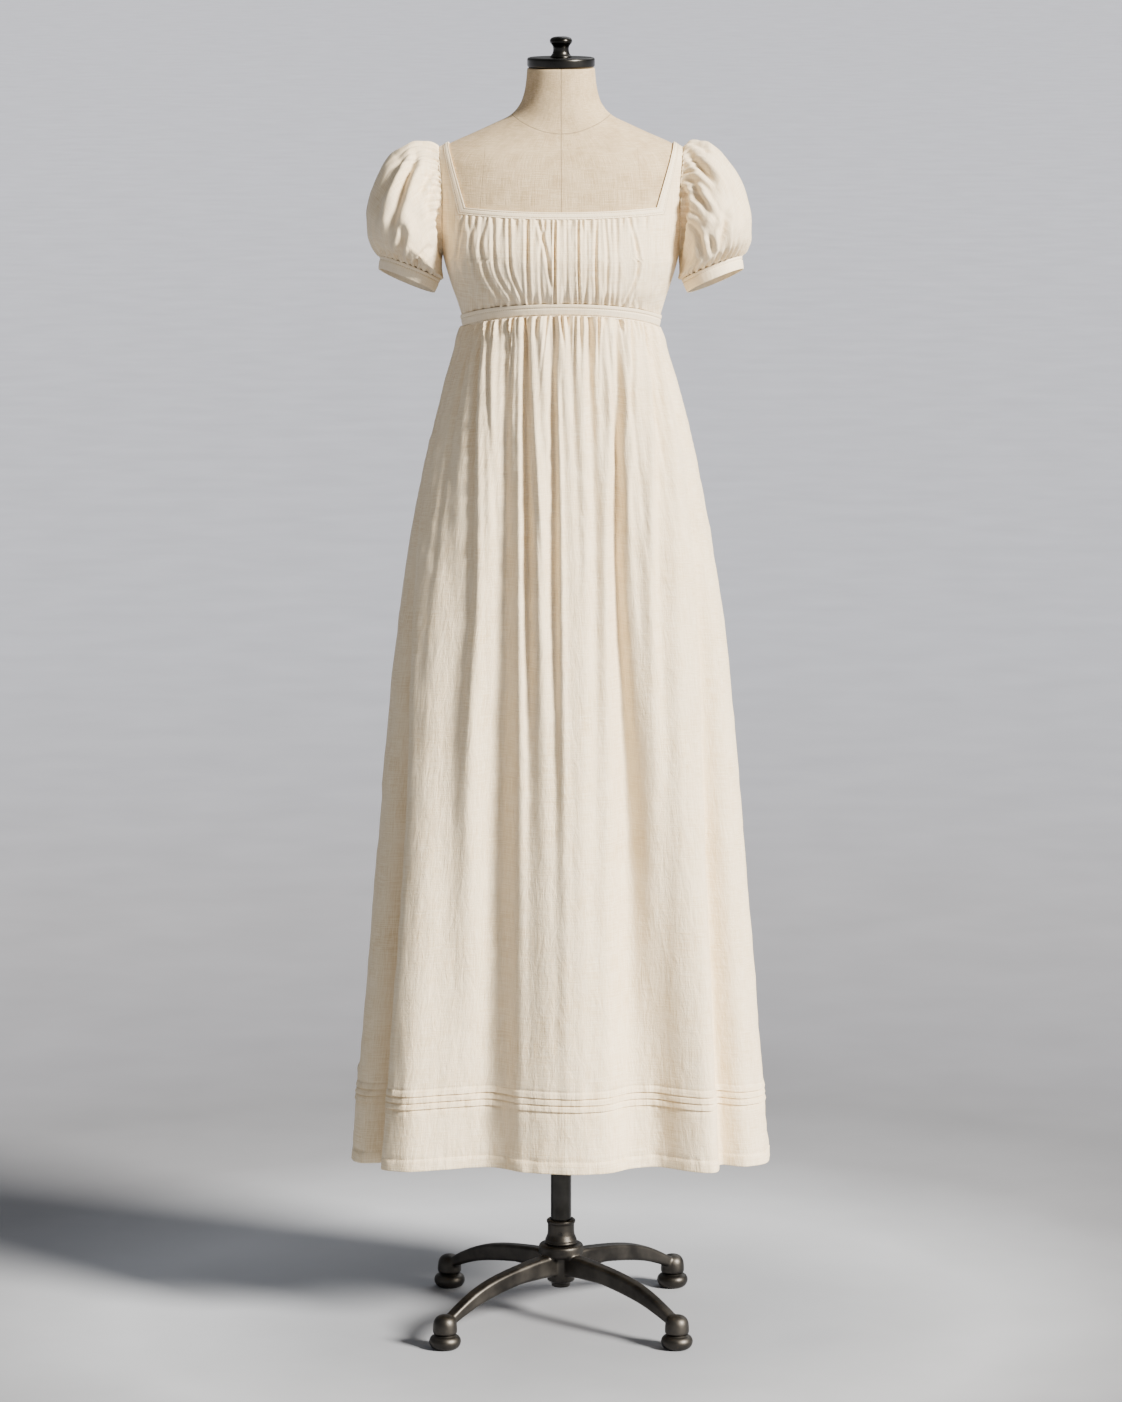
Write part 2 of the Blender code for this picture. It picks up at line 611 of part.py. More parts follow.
def bodice_sheet(side, columns, strap_rows, corner, neckline, edge_top, puff):
    """Points, normals and faces of a bodice panel on one or both halves.

    columns is how many lie between the centre and the strap, edge_top(turn) is the
    height of the waist edge, and puff is how far the cloth stands off the form.
    """
    wide = (binding_corner(corner)[0] + SEAM, binding_corner(corner)[1] - SEAM)
    chest = wide[1]
    low_side = BAND_SIDE_TOP + SEAM
    levels = [mix(low_side, armhole_foot(), k / 3) for k in range(4)]
    levels += [armhole_foot() + rise for rise in (0.006, 0.020, 0.038)] + [chest]
    shares = [(z - low_side) / (chest - low_side) for z in levels]
    rows = len(shares) - 1
    half, _, _, n = form_curves(chest)
    widest = math.asin((armhole_x(chest) / half) ** (n / 2))

    def x_to_turn(x):
        return math.asin((x / half) ** (n / 2)) / widest

    def turn_to_x(turn):
        return half * math.sin(abs(turn) * widest) ** (2 / n)

    corner_turn = x_to_turn(wide[0])
    strap_steps = 4
    strap_turns = [x_to_turn(mix(wide[0], armhole_x(chest), k / strap_steps))
                   for k in range(strap_steps + 1)]
    neck_turns = [x_to_turn(wide[0] * neck_share(k, columns)) for k in range(columns)]
    half_turns = neck_turns + strap_turns
    points, normals, faces, index = [], [], [], {}

    def add(key, point, normal):
        index[key] = len(points)
        points.append(point)
        normals.append(normal)

    def build(sign, turns, label):
        for c, turn in enumerate(turns):
            key_turn = round(sign * turn, 6)
            for r in range(rows + 1):
                if (key_turn, r) in index:
                    continue
                v = shares[r]
                low = edge_top(turn) + SEAM
                in_neck = turn < corner_turn - 1e-9
                at_binding = turn_to_x(turn) * corner[0] / wide[0]
                high = neckline(at_binding) - BINDING_WIDTH - SEAM if in_neck else chest
                z = mix(low, high, v)
                point, normal = form_turn(sign * turn, z, side)
                gather = BODICE_GATHERS[c % 2] if in_neck and turn > 0 else 0.0
                middle = 1 - ease((turn - 0.55) / 0.35)
                stand = puff * math.sin(math.pi * v) ** 0.8 + gather
                where = point + normal * (WEAR + stand * middle)
                if side > 0 and turn == 0.0:
                    where.x, normal.x = sign * SEAM / 2, 0.0
                add((key_turn, r), where, normal.normalized())
        keys = [round(sign * turn, 6) for turn in turns]
        for a, b in zip(keys, keys[1:]):
            for r in range(rows):
                quad = [index[(a, r)], index[(b, r)], index[(b, r + 1)], index[(a, r + 1)]]
                faces.append(quad if sign * side < 0 else quad[::-1])
        strap_keys = keys[-strap_steps - 1:]
        edge = strap_line(wide, STRAP_TOP + BINDING_AT_SHOULDER + SEAM)
        for c, key in enumerate(strap_keys):
            share = c / strap_steps
            line = (lambda z, s=share: mix(edge(z), armhole_x(z), s))
            path = strap_points(line, chest, side, strap_rows)
            for r in range(1, strap_rows + 1):
                p = path[r]
                p.x *= sign
                normal = form_normal(p)
                where = p + normal * WEAR
                if r == strap_rows:
                    where.y = side * SEAM / 2
                add((label, key, r), where, normal)
        for a, b in zip(strap_keys, strap_keys[1:]):
            for r in range(strap_rows):
                low_a = index[(label, a, r)] if r else index[(a, rows)]
                low_b = index[(label, b, r)] if r else index[(b, rows)]
                quad = [low_a, low_b, index[(label, b, r + 1)], index[(label, a, r + 1)]]
                faces.append(quad if sign * side < 0 else quad[::-1])

    build(+1, half_turns, "right")
    if side < 0:
        build(-1, half_turns, "left")
    return points, normals, faces


def make_bodice(mat):
    points, normals, faces = bodice_sheet(
        -1, FRONT_COLUMNS, STRAP_ROWS, NECK_CORNER, neckline_front, band_top, BUST_EASE)
    bm = bmesh.new()
    thicken(bm, points, normals, faces, CLOTH)
    finish_object("bodice_front", bm, mat)

    points, normals, faces = bodice_sheet(
        +1, BACK_COLUMNS, STRAP_ROWS, BACK_CORNER, neckline_back, band_back, 0.0)
    for sign, name in ((-1, "bodice_back_left"), (+1, "bodice_back_right")):
        flip = [Vector((sign * p.x, p.y, p.z)) for p in points]
        flip_normals = [Vector((sign * n.x, n.y, n.z)) for n in normals]
        bm = bmesh.new()
        thicken(bm, flip, flip_normals, faces, CLOTH)
        finish_object(name, bm, mat)


def make_waistband(mat):
    steps = 48
    points, normals, faces = [], [], []
    for k in range(steps + 1):
        bearing = mix(-math.pi, math.pi, k / steps)
        side = -1 if math.cos(bearing) > 0 else +1
        turn = math.asin(max(-1.0, min(1.0, math.sin(bearing)))) / (math.pi / 2)
        top = band_top(abs(turn)) if side < 0 else BAND_SIDE_TOP
        for z in (top, top - BAND_HEIGHT):
            half, front, back, n = form_curves(z)
            depth = front if side < 0 else back
            p = Vector((half * power(math.sin(bearing), 2 / n),
                        side * depth * abs(math.cos(bearing)) ** (2 / n), z))
            normal = form_normal(p)
            where = p + normal * BAND_STAND
            if k in (0, steps):
                where.x = -SEAM / 2 if k == 0 else SEAM / 2
                normal.x = 0.0
                normal.normalize()
            points.append(where)
            normals.append(normal)
        if k:
            a = 2 * k
            faces.append([a - 2, a - 1, a + 1, a])
    bm = bmesh.new()
    thicken(bm, points, normals, faces, BAND_CLOTH)
    finish_object("waistband", bm, mat)


# -------------------------------------------------------------------------- the skirt
skirt_curves = Curves(SKIRT)


def skirt_top(bearing):
    turn = abs(bearing) / 90
    top = band_top(turn) if turn < 1 else BAND_SIDE_TOP
    return top - BAND_HEIGHT - SEAM


def skirt_hem(bearing):
    return HEM_SIDE + HEM_RISE * max(0.0, math.cos(math.radians(bearing))) ** 2


def fold_height(bearing, down):
    """How far the folds push the cloth out at a bearing in degrees."""
    total = 0.0
    for fold in FOLDS:
        at = fold.at_hem + (fold.at_waist - fold.at_hem) * (1 - down) ** fold.drift
        away = (bearing - at + 180) % 360 - 180
        grown = fold.height * (0.12 + 0.88 * ease(down / 0.9)) * ease(down / 0.05)
        total += grown * math.exp(-(away / fold.half_width) ** 2)
    return total


def skirt_point(bearing, down, off, gather=0.0):
    """A point of the skirt at a bearing, a share of its length down, `off` outward."""
    half, front, back, n = skirt_curves(down)
    a = math.radians(bearing)
    side = -1 if abs(bearing) <= 90 else +1
    depth = front if side < 0 else back
    x = half * power(math.sin(a), 2 / n)
    y = side * depth * abs(math.cos(a)) ** (2 / n) if abs(abs(bearing) - 90) > 1e-6 else 0.0
    z = mix(skirt_top(bearing), skirt_hem(bearing), down)
    normal = Vector((power(x / half, n - 1) / half, power(y / depth, n - 1) / depth, 0))
    normal.normalize()
    gathered = gather * (1 - ease((down - 0.01) / 0.16)) * ease(down / 0.008)
    return Vector((x, y, z)) + normal * (off + fold_height(bearing, down) + gathered)


def skirt_rows():
    """Shares of the length down for the cloth's outside and inside, and the steps out."""
    length = BAND_SIDE_TOP - BAND_HEIGHT - HEM_SIDE
    plain = [0.0, 0.035, 0.085, 0.17, 0.31, 0.50, 0.71]
    tuck_top = 1 - (TUCK_ABOVE_HEM + TUCK_COUNT * TUCK_HEIGHT) / length
    outside = [(down, 0.0) for down in plain + [tuck_top]]
    for k in range(TUCK_COUNT):
        low = tuck_top + (k + 1) * TUCK_HEIGHT / length
        outside += [(low - 0.0006, TUCK_STEP), (low, 0.0)]
    turn = 1 - HEM_TURN / length
    outside += [(turn, 0.0), (turn + 0.0008, 0.0006), (1.0, 0.0006)]
    inside = plain + [tuck_top, outside[-4][0], turn, 1.0]
    return outside, inside


def make_skirt(mat):
    outside, inside = skirt_rows()
    steps = SKIRT_COLUMNS
    for name, start in (("skirt_front", -90.0), ("skirt_back", 90.0)):
        bearings = [start + 180.0 * k / steps for k in range(steps + 1)]
        bearings = [b - 360 if b > 180 else b for b in bearings]
        nudge = -SEAM / 2 if name == "skirt_front" else SEAM / 2
        bm = bmesh.new()

        def row(down, off):
            verts = []
            for k, bearing in enumerate(bearings):
                at_seam = k in (0, steps)
                p = skirt_point(bearing, down, off, 0.0 if at_seam else GATHERS[k % 2])
                if at_seam:
                    p.y = nudge
                verts.append(bm.verts.new(p))
            return verts

        outer = [row(down, CLOTH / 2 + step) for down, step in outside]
        inner = [row(down, -CLOTH / 2) for down in inside]
        wall_faces(bm, outer, inner)
        for upper, lower in ((outer[0], inner[0]), (outer[-1], inner[-1])):
            for k in range(steps):
                bm.faces.new([upper[k], upper[k + 1], lower[k + 1], lower[k]])
        for k in (0, steps):
            zip_edges(bm, [r[k] for r in outer], [r[k] for r in inner])
        finish_object(name, bm, mat, 55.0)


# --------------------------------------------------------------------- sleeves, cuffs
sleeve_curves = Curves(SLEEVE)


def armhole_ring(angle):
    """The cut edge of the armhole; angle 0 is its top, pi/2 its front, pi its foot."""
    top = ridge_height(armhole_x)
    foot = armhole_foot()
    z = mix((top + foot) / 2, top, math.cos(angle))
    half = form_curves(z)[0]
    x = min(armhole_x(z), half * 0.9999)
    side = -1 if math.sin(angle) >= 0 else +1
    y = form_depth(x, z, side) if abs(math.sin(angle)) > 1e-6 else 0.0
    p = Vector((x, y, z))
    return p + form_normal(p) * WEAR + Vector((ARMHOLE_GAP, 0, 0))


def sleeve_point(along, angle, slack):
    out_x, out_z, in_x, in_z, depth = sleeve_curves(along)
    out_x -= slack * math.sin(math.pi * along)
    centre = Vector(((out_x + in_x) / 2, 0, (out_z + in_z) / 2))
    arm = Vector((out_x - centre.x, 0, out_z - centre.z))
    p = centre + arm * math.cos(angle) + Vector((0, -depth * math.sin(angle), 0))
    join = ease(along / 0.12)
    return armhole_ring(angle).lerp(p, join) if join < 1 else p


def make_sleeve(side, mat, cuff_mat):
    name = "left" if side < 0 else "right"
    slack = 0.0 if side < 0 else 0.007
    around = SLEEVE_COLUMNS
    alongs = [0.0, 0.05, 0.14, 0.28, 0.45, 0.62, 0.78, 0.91, 1.0]
    angles = [2 * math.pi * k / around for k in range(around)]
    grid = [[sleeve_point(along, angle, slack) for angle in angles] for along in alongs]
    bm = bmesh.new()
    outer, inner = [], []
    for r, ring in enumerate(grid):
        above, below = grid[max(r - 1, 0)], grid[min(r + 1, len(grid) - 1)]
        gathered = (1 - ease((alongs[r] - 0.05) / 0.45)) + ease((alongs[r] - 0.7) / 0.3)
        gathered *= 0.0 if r in (0, len(grid) - 1) else 1.0
        outer_ring, inner_ring = [], []
        for k, p in enumerate(ring):
            tangent = ring[(k + 1) % around] - ring[k - 1]
            normal = (below[k] - above[k]).cross(tangent).normalized()
            upper =ease((math.cos(angles[k]) + 0.80) / 0.60)
            pleat = GATHERS[k % 2] * gathered * upper
            outer_ring.append(p + normal * (CLOTH / 2 + pleat))
            inner_ring.append(p - normal * (CLOTH / 2 - pleat))
        outer.append(outer_ring)
        inner.append(inner_ring)

    def place(rings):
        return [[bm.verts.new((side * p.x, p.y, p.z)) for p in ring] for ring in rings]

    outer, inner = place(outer), place(inner)
    wall_faces(bm, outer, inner, closed=True)
    for a, b in ((outer[0], inner[0]), (outer[-1], inner[-1])):
        grid_faces(bm, [a, b], closed=True)
    finish_object(f"sleeve_{name}", bm, mat, 60.0)
    make_cuff(side, name, cuff_mat)


def make_cuff(side, name, mat):
    around = SLEEVE_COLUMNS
    bm = bmesh.new()
    rings = []
    for (outer, inner), wall in ((CUFF_TOP, 1), (CUFF_BOTTOM, 1),
                                 (CUFF_BOTTOM, -1), (CUFF_TOP, -1)):
        centre = Vector(((outer[0] + inner[0]) / 2, 0, (outer[1] + inner[1]) / 2))
        arm = Vector((outer[0] - centre.x, 0, outer[1] - centre.z))
        grow = 1 + wall * BAND_CLOTH / 2 / arm.length
        depth = (CUFF_DEPTH + wall * BAND_CLOTH / 2)
        ring = []
        for k in range(around):
            a = 2 * math.pi * k / around
            p = centre + arm * grow * math.cos(a) + Vector((0, -depth * math.sin(a), 0))
            ring.append(bm.verts.new((side * p.x, p.y, p.z)))
        rings.append(ring)
    grid_faces(bm, rings + rings[:1], closed=True)
    finish_object(f"cuff_{name}", bm, mat)


# -------------------------------------------------------------------------- the whole
def main():
    clear_scene()
    gown = material("cream_cotton_linen", (0.80, 0.71, 0.58), 0.85)
    binding = material("cream_binding", (0.82, 0.74, 0.61), 0.80)
    linen = material("form_linen", (0.60, 0.51, 0.40), 0.90)
    iron = material("bronzed_iron", (0.045, 0.042, 0.038), 0.42, 1.0)
    steel = material("gunmetal_steel", (0.075, 0.072, 0.070), 0.30, 1.0)
    make_form(linen)
    make_stand(iron, steel)
    make_binding(binding)
    make_bodice(gown)
    make_waistband(binding)
    make_skirt(gown)
    for side in (-1, +1):
        make_sleeve(side, gown, binding)


main()
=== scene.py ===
"""Regency gown on a dress form: its looks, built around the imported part.

Metres, +Z up, the front faces -Y.  Left and right are those of someone facing the
front.  Cloth is a thin wall laid about where the part has its cloth, with the folds,
gathers, tucks and seams that the part leaves plain.
"""
import math
from collections import namedtuple

import bpy
import numpy as np
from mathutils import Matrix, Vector


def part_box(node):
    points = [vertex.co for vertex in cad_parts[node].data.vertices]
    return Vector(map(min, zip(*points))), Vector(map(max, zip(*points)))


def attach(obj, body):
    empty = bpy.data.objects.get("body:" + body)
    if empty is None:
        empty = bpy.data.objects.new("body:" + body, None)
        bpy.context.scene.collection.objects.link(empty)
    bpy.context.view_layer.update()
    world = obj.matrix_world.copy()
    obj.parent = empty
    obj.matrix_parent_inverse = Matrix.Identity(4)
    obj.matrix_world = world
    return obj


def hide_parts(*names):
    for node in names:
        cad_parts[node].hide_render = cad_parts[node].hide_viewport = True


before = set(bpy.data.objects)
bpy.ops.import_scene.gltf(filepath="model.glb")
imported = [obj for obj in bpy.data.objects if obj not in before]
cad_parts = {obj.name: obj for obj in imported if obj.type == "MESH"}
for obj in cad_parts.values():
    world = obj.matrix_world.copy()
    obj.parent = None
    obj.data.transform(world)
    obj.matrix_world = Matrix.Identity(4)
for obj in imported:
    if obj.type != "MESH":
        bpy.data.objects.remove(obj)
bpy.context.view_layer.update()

# ------------------------------------------------------------------ the gown's measures
SEAM = 0.0003                        # gap between pieces that are sewn together
OUTSIDE = 0.0007                     # outer face of the cloth beyond the middle of its wall
BAND_OUTSIDE = 0.00105               # the same of a band, which is folded double
CLOTH_WALL = 0.0008
BAND_WALL = 0.0018
WEAR = 0.0018                        # middle of the worn cloth above the form's surface
NEAREST = 0.0013                     # the least that cloth stands off the form

NECK_CORNER = (0.1244, 1.523)        # inner corner of the square neck, as x and z
NECK_DROP = 0.005                    # dip of the neck's edge at the centre front
BACK_CORNER = (0.1280, 1.545)
STRAP_TOP = 0.1475                   # x of a strap's inner edge at the shoulder
SHOULDER_Z = 1.600
BINDING_WIDTH = 0.009
BINDING_AT_SHOULDER = 0.0070         # its width there
BINDING_STAND = WEAR + BAND_OUTSIDE  # its outer face above the form
BINDING_STITCHES = (0.22, 0.80)      # rows of stitches, as shares of a band's width
ARMHOLE_X = 0.154
ARMHOLE_LEAN = 0.007                 # how much farther out it lies at the shoulder
ARMHOLE_LEANS_FROM = 1.530
ARMHOLE_GAP = 0.0016                 # from the bodice to the first ring of a sleeve

BAND_SIDE_TOP = 1.3745               # top of the waistband at the sides and back
BAND_RISE = 0.0266                   # how much higher it is at the centre front
BAND_HEIGHT = 0.0165
BAND_STAND = 0.0034 + BAND_OUTSIDE   # outer face of the waistband above the form
BAND_STITCHES = (0.30, 0.90)
BUST_EASE = 0.0055                   # how far the gathered front puffs out

HEM_SIDE = 0.2325                    # height of the hem at the sides and back
HEM_RISE = 0.010                     # how much higher it is at the centre front
SKIRT_LENGTH = BAND_SIDE_TOP - BAND_HEIGHT - HEM_SIDE
TUCK_COUNT = 3
TUCK_HEIGHT = 0.0088
TUCK_ABOVE_HEM = 0.084
TUCK_TOP = SKIRT_LENGTH - TUCK_ABOVE_HEM - TUCK_COUNT * TUCK_HEIGHT
TUCK_STEP = 0.0019                   # how far the lower edge of a tuck stands out
TUCK_PROFILE = ((0.24, 0.45), (0.50, 0.65), (0.80, 0.90), (0.92, 1.0), (0.985, 0.96))
UNDER_TUCK = -0.0012                 # how far the cloth draws in right under that edge
BELOW_TUCK = -0.0009                 # and a millimetre below it
HEM_TURN = 0.016
HEM_STITCH = 0.0018
HEM_STITCH_GAP = 0.0032
BAND_DOME = 0.0004                   # how much higher a band is along its middle
GROOVE_DEPTH = 0.0009                # of the groove that a row of stitches draws in a band
THREAD_HEIGHT = -0.0003              # of stitches, sunk in that groove

# How many times deeper the folds are drawn than their tables say.
FOLD_DEPTH = 1.85
LARGE_DEPTH = 1.25
BODICE_DEPTH = 1.65
SLEEVE_DEPTH = 1.35
# How much narrower those of the bodice and the sleeves are drawn.
BODICE_NARROWING = 0.85
SLEEVE_NARROWING = 0.78

SKIRT_COLUMNS = 350
BODICE_COLUMNS = 112                 # of half the front, between its centre and its strap
BACK_COLUMNS = 44
STRAP_COLUMNS = 9
STRAP_ROWS = 30
BODICE_ROWS = 60
SLEEVE_COLUMNS = 264
SLEEVE_ROWS = 92
CUFF_COLUMNS = 180
BINDING_STEPS = 28                   # across a binding or cuff
BAND_STEPS = 32

FormRow = namedtuple("FormRow", "z half_width front back squareness")
FORM = [
    FormRow(1.7012, 0.0445, 0.0445, 0.0445, 2.0),
    FormRow(1.680, 0.0465, 0.0462, 0.0465, 2.0),
    FormRow(1.660, 0.0512, 0.0492, 0.0510, 2.0),
    FormRow(1.648, 0.0580, 0.0512, 0.0545, 2.0),
    FormRow(1.638, 0.0685, 0.0530, 0.0585, 2.0),
    FormRow(1.628, 0.0890, 0.0555, 0.0630, 2.0),
    FormRow(1.616, 0.1150, 0.0610, 0.0690, 2.0),
    FormRow(1.602, 0.1465, 0.0700, 0.0760, 2.0),
    FormRow(1.592, 0.1630, 0.0765, 0.0810, 2.1),
    FormRow(1.578, 0.1710, 0.0835, 0.0870, 2.2),
    FormRow(1.555, 0.1720, 0.0915, 0.0945, 2.3),
    FormRow(1.520, 0.1680, 0.1010, 0.1010, 2.4),
    FormRow(1.485, 0.1610, 0.1120, 0.1040, 2.4),
    FormRow(1.450, 0.1525, 0.1210, 0.1040, 2.4),
    FormRow(1.420, 0.1440, 0.1185, 0.1025, 2.35),
    FormRow(1.392, 0.1345, 0.1075, 0.0995, 2.3),
    FormRow(1.365, 0.1270, 0.0990, 0.0950, 2.2),
    FormRow(1.320, 0.1190, 0.0930, 0.0890, 2.1),
    FormRow(1.270, 0.1150, 0.0880, 0.0860, 2.1),
    FormRow(1.180, 0.1350, 0.0960, 0.1010, 2.2),
    FormRow(1.090, 0.1590, 0.1030, 0.1210, 2.3),
    FormRow(1.000, 0.1640, 0.1030, 0.1200, 2.3),
    FormRow(0.845, 0.1540, 0.0960, 0.1060, 2.3),
]

# The skirt without its folds, as fractions of its length down from the waistband.
SkirtRow = namedtuple("SkirtRow", "down half_width front back squareness")
SKIRT = [
    SkirtRow(0.000, 0.1312, 0.1110, 0.1010, 2.20),
    SkirtRow(0.030, 0.1410, 0.1170, 0.1090, 2.25),
    SkirtRow(0.070, 0.1540, 0.1210, 0.1180, 2.30),
    SkirtRow(0.160, 0.1790, 0.1270, 0.1310, 2.35),
    SkirtRow(0.300, 0.2050, 0.1330, 0.1440, 2.45),
    SkirtRow(0.500, 0.2310, 0.1390, 0.1540, 2.60),
    SkirtRow(0.750, 0.2580, 0.1455, 0.1620, 2.75),
    SkirtRow(1.000, 0.2820, 0.1500, 0.1670, 2.90),
]

# The largest folds: bearings in degrees from the centre front, heights in metres.
Fold = namedtuple("Fold", "at_waist at_hem drift half_width height")
FOLDS = [
    Fold(-90, -51, 3.0, 6.5, 0.008), Fold(-100, -60, 3.0, 6.5, -0.024),
    Fold(-110, -78, 2.0, 9.0, 0.004), Fold(-52, -39, 1.5, 9.0, 0.013),
    Fold(-22, -14, 1.5, 8.0, -0.020), Fold(1, 1.5, 1.0, 8.5, 0.016),
    Fold(17, 17.5, 1.0, 8.0, -0.021), Fold(40, 34, 1.0, 9.0, 0.012),
    Fold(64, 39, 1.4, 5.5, 0.007), Fold(72, 47, 1.4, 6.5, -0.022),
    Fold(96, 72, 1.6, 9.0, 0.004), Fold(108, 100, 1.0, 7.5, -0.012),
    Fold(130, 121, 1.0, 9.0, 0.010), Fold(146, 141, 1.0, 7.5, -0.016),
    Fold(160, 158, 1.0, 8.0, 0.011), Fold(171, 173, 1.0, 6.5, -0.013),
    Fold(-176, -172, 1.0, 8.0, 0.010), Fold(-160, -156, 1.0, 7.5, -0.017),
    Fold(-144, -139, 1.0, 9.0, 0.011), Fold(-128, -120, 1.0, 7.5, -0.014),
    Fold(-112, -104, 1.0, 7.0, 0.007),
]

# Folds that the gathers of the skirt run into, in millimetres: where each lies across
# the waistband as its thread hangs, at the band, a quarter and six tenths of the way
# down; its depth at those places; its half width; and which side of it is steeper.
HangingFold = namedtuple("HangingFold", "top upper lower at_top at_upper at_lower width steep")
FRONT_FOLDS = [
    HangingFold(-116, -116, -122, 3.0, 5.0, 2.5, 5.5, 0.0),
    HangingFold(-103, -101, -112, 3.6, 5.2, 2.0, 4.6, 0.5),
    HangingFold(-72, -71, -72, 2.8, 3.0, 1.4, 5.6, 0.0),
    HangingFold(-47, -44, -40, 4.0, 5.6, 2.0, 4.8, -0.5),
    HangingFold(-10, -8, -8, 3.6, 5.0, 1.8, 5.6, 0.7),
    HangingFold(38, 43, 45, 2.8, 2.0, 1.0, 4.6, 0.0),
    HangingFold(73, 70, 80, 4.2, 6.6, 3.0, 4.8, 0.2),
    HangingFold(111, 107, 112, 3.4, 5.0, 2.4, 4.8, -0.6),
    HangingFold(124, 123, 125, 1.4, 2.2, 1.0, 2.8, 0.0),
]
BACK_FOLDS = [
    HangingFold(-118, -114, -120, 2.6, 4.4, 2.0, 5.0, 0.3),
    HangingFold(-92, -90, -96, 3.4, 4.6, 2.0, 4.8, -0.4),
    HangingFold(-63, -60, -66, 3.0, 3.6, 1.6, 5.4, 0.2),
    HangingFold(-34, -36, -34, 4.2, 5.8, 2.6, 4.6, 0.5),
    HangingFold(-5, -3, 2, 3.2, 3.8, 1.4, 5.0, -0.3),
    HangingFold(27, 29, 30, 3.8, 5.2, 2.2, 4.8, 0.0),
    HangingFold(58, 55, 61, 2.8, 3.4, 1.2, 5.6, 0.4),
    HangingFold(86, 85, 92, 4.0, 5.6, 2.4, 4.6, -0.5),
    HangingFold(113, 110, 114, 2.8, 4.2, 2.0, 5.0, 0.0),
]

# Folds of the gathered bodice front, in millimetres across from its centre, under the
# neck binding, halfway and at the waistband, with the depth at each.
BodiceFold = namedtuple("BodiceFold", "top middle bottom width at_top at_middle at_bottom")
BODICE_FOLDS = [
    BodiceFold(-8, -8, -8, 1.8, 2.6, 3.6, 3.0),
    BodiceFold(22, 22, 24, 1.7, 2.0, 2.6, 1.8),
    BodiceFold(-44, -43, -41, 2.6, 2.0, 2.6, 1.8),
    BodiceFold(46, 44, 46, 2.1, 1.6, 2.2, 1.8),
    BodiceFold(57, 59, 58, 2.2, 1.2, 1.6, 1.6),
    BodiceFold(71, 72, 70, 2.4, 1.6, 1.0, 1.2),
    BodiceFold(89, 98, 80, 2.2, 1.2, 2.2, 1.2),
    BodiceFold(-68, -65, -47, 2.3, 1.6, 1.9, 1.8),
    BodiceFold(-30, -17, -8, 2.6, 1.4, 1.9, 0.4),
    BodiceFold(-106, -98, -72, 2.8, 0.4, 2.0, 1.8),
    BodiceFold(-119, -110, -84, 2.8, 0.6, 1.6, 1.5),
    BodiceFold(-136, -131, -108, 3.2, 0.0, 0.9, 1.3),
    BodiceFold(120, 118, 91, 3.2, 0.0, 0.6, 1.4),
    BodiceFold(137, 133, 106, 3.4, 0.0, 0.4, 1.1),
    BodiceFold(-88, -84, -58, 2.6, 0.6, 1.7, 1.6),
    BodiceFold(7, 7, 9, 1.9, 1.0, 0.6, 1.4),
    BodiceFold(-20, -27, -24, 2.2, 0.8, 0.7, 1.5),
    BodiceFold(33, 33, 32, 1.8, 1.2, 0.5, 1.4),
    BodiceFold(-126, -134, -139, 2.6, 1.5, 0.5, 0.0),
    BodiceFold(-110, -118, -120, 2.6, 1.5, 0.6, 0.0),
    BodiceFold(-96, -104, -104, 2.4, 1.3, 0.5, 0.0),
]

# A puffed sleeve as rings that turn about the underarm.
SleeveRow = namedtuple("SleeveRow", "along out_x out_z in_x in_z half_depth")
SLEEVE = [
    SleeveRow(0.00, 0.1610, 1.6000, 0.1565, 1.4560, 0.0480),
    SleeveRow(0.05, 0.1720, 1.6070, 0.1572, 1.4500, 0.0560),
    SleeveRow(0.12, 0.1900, 1.6045, 0.1576, 1.4460, 0.0670),
    SleeveRow(0.22, 0.2100, 1.5960, 0.1578, 1.4410, 0.0780),
    SleeveRow(0.32, 0.2265, 1.5810, 0.1580, 1.4370, 0.0845),
    SleeveRow(0.44, 0.2415, 1.5570, 0.1580, 1.4330, 0.0885),
    SleeveRow(0.56, 0.2515, 1.5310, 0.1575, 1.4290, 0.0890),
    SleeveRow(0.68, 0.2565, 1.5060, 0.1570, 1.4262, 0.0855),
    SleeveRow(0.80, 0.2545, 1.4790, 0.1565, 1.4238, 0.0760),
    SleeveRow(0.91, 0.2470, 1.4625, 0.1572, 1.4226, 0.0590),
    SleeveRow(1.00, 0.2390, 1.4528, 0.1612, 1.4225, 0.0430),
]
CUFF_TOP = ((0.2390, 1.4515), (0.1612, 1.4209))
CUFF_BOTTOM = ((0.2412, 1.4350), (0.1688, 1.4048))
CUFF_DEPTH = 0.0430
CUFF_STITCHES = (0.24,)
RIGHT_SLACK = 0.007                  # how much less the right sleeve stands out
CUFF_TILT = 0.19                     # rise of the cuff towards the front, as a slope

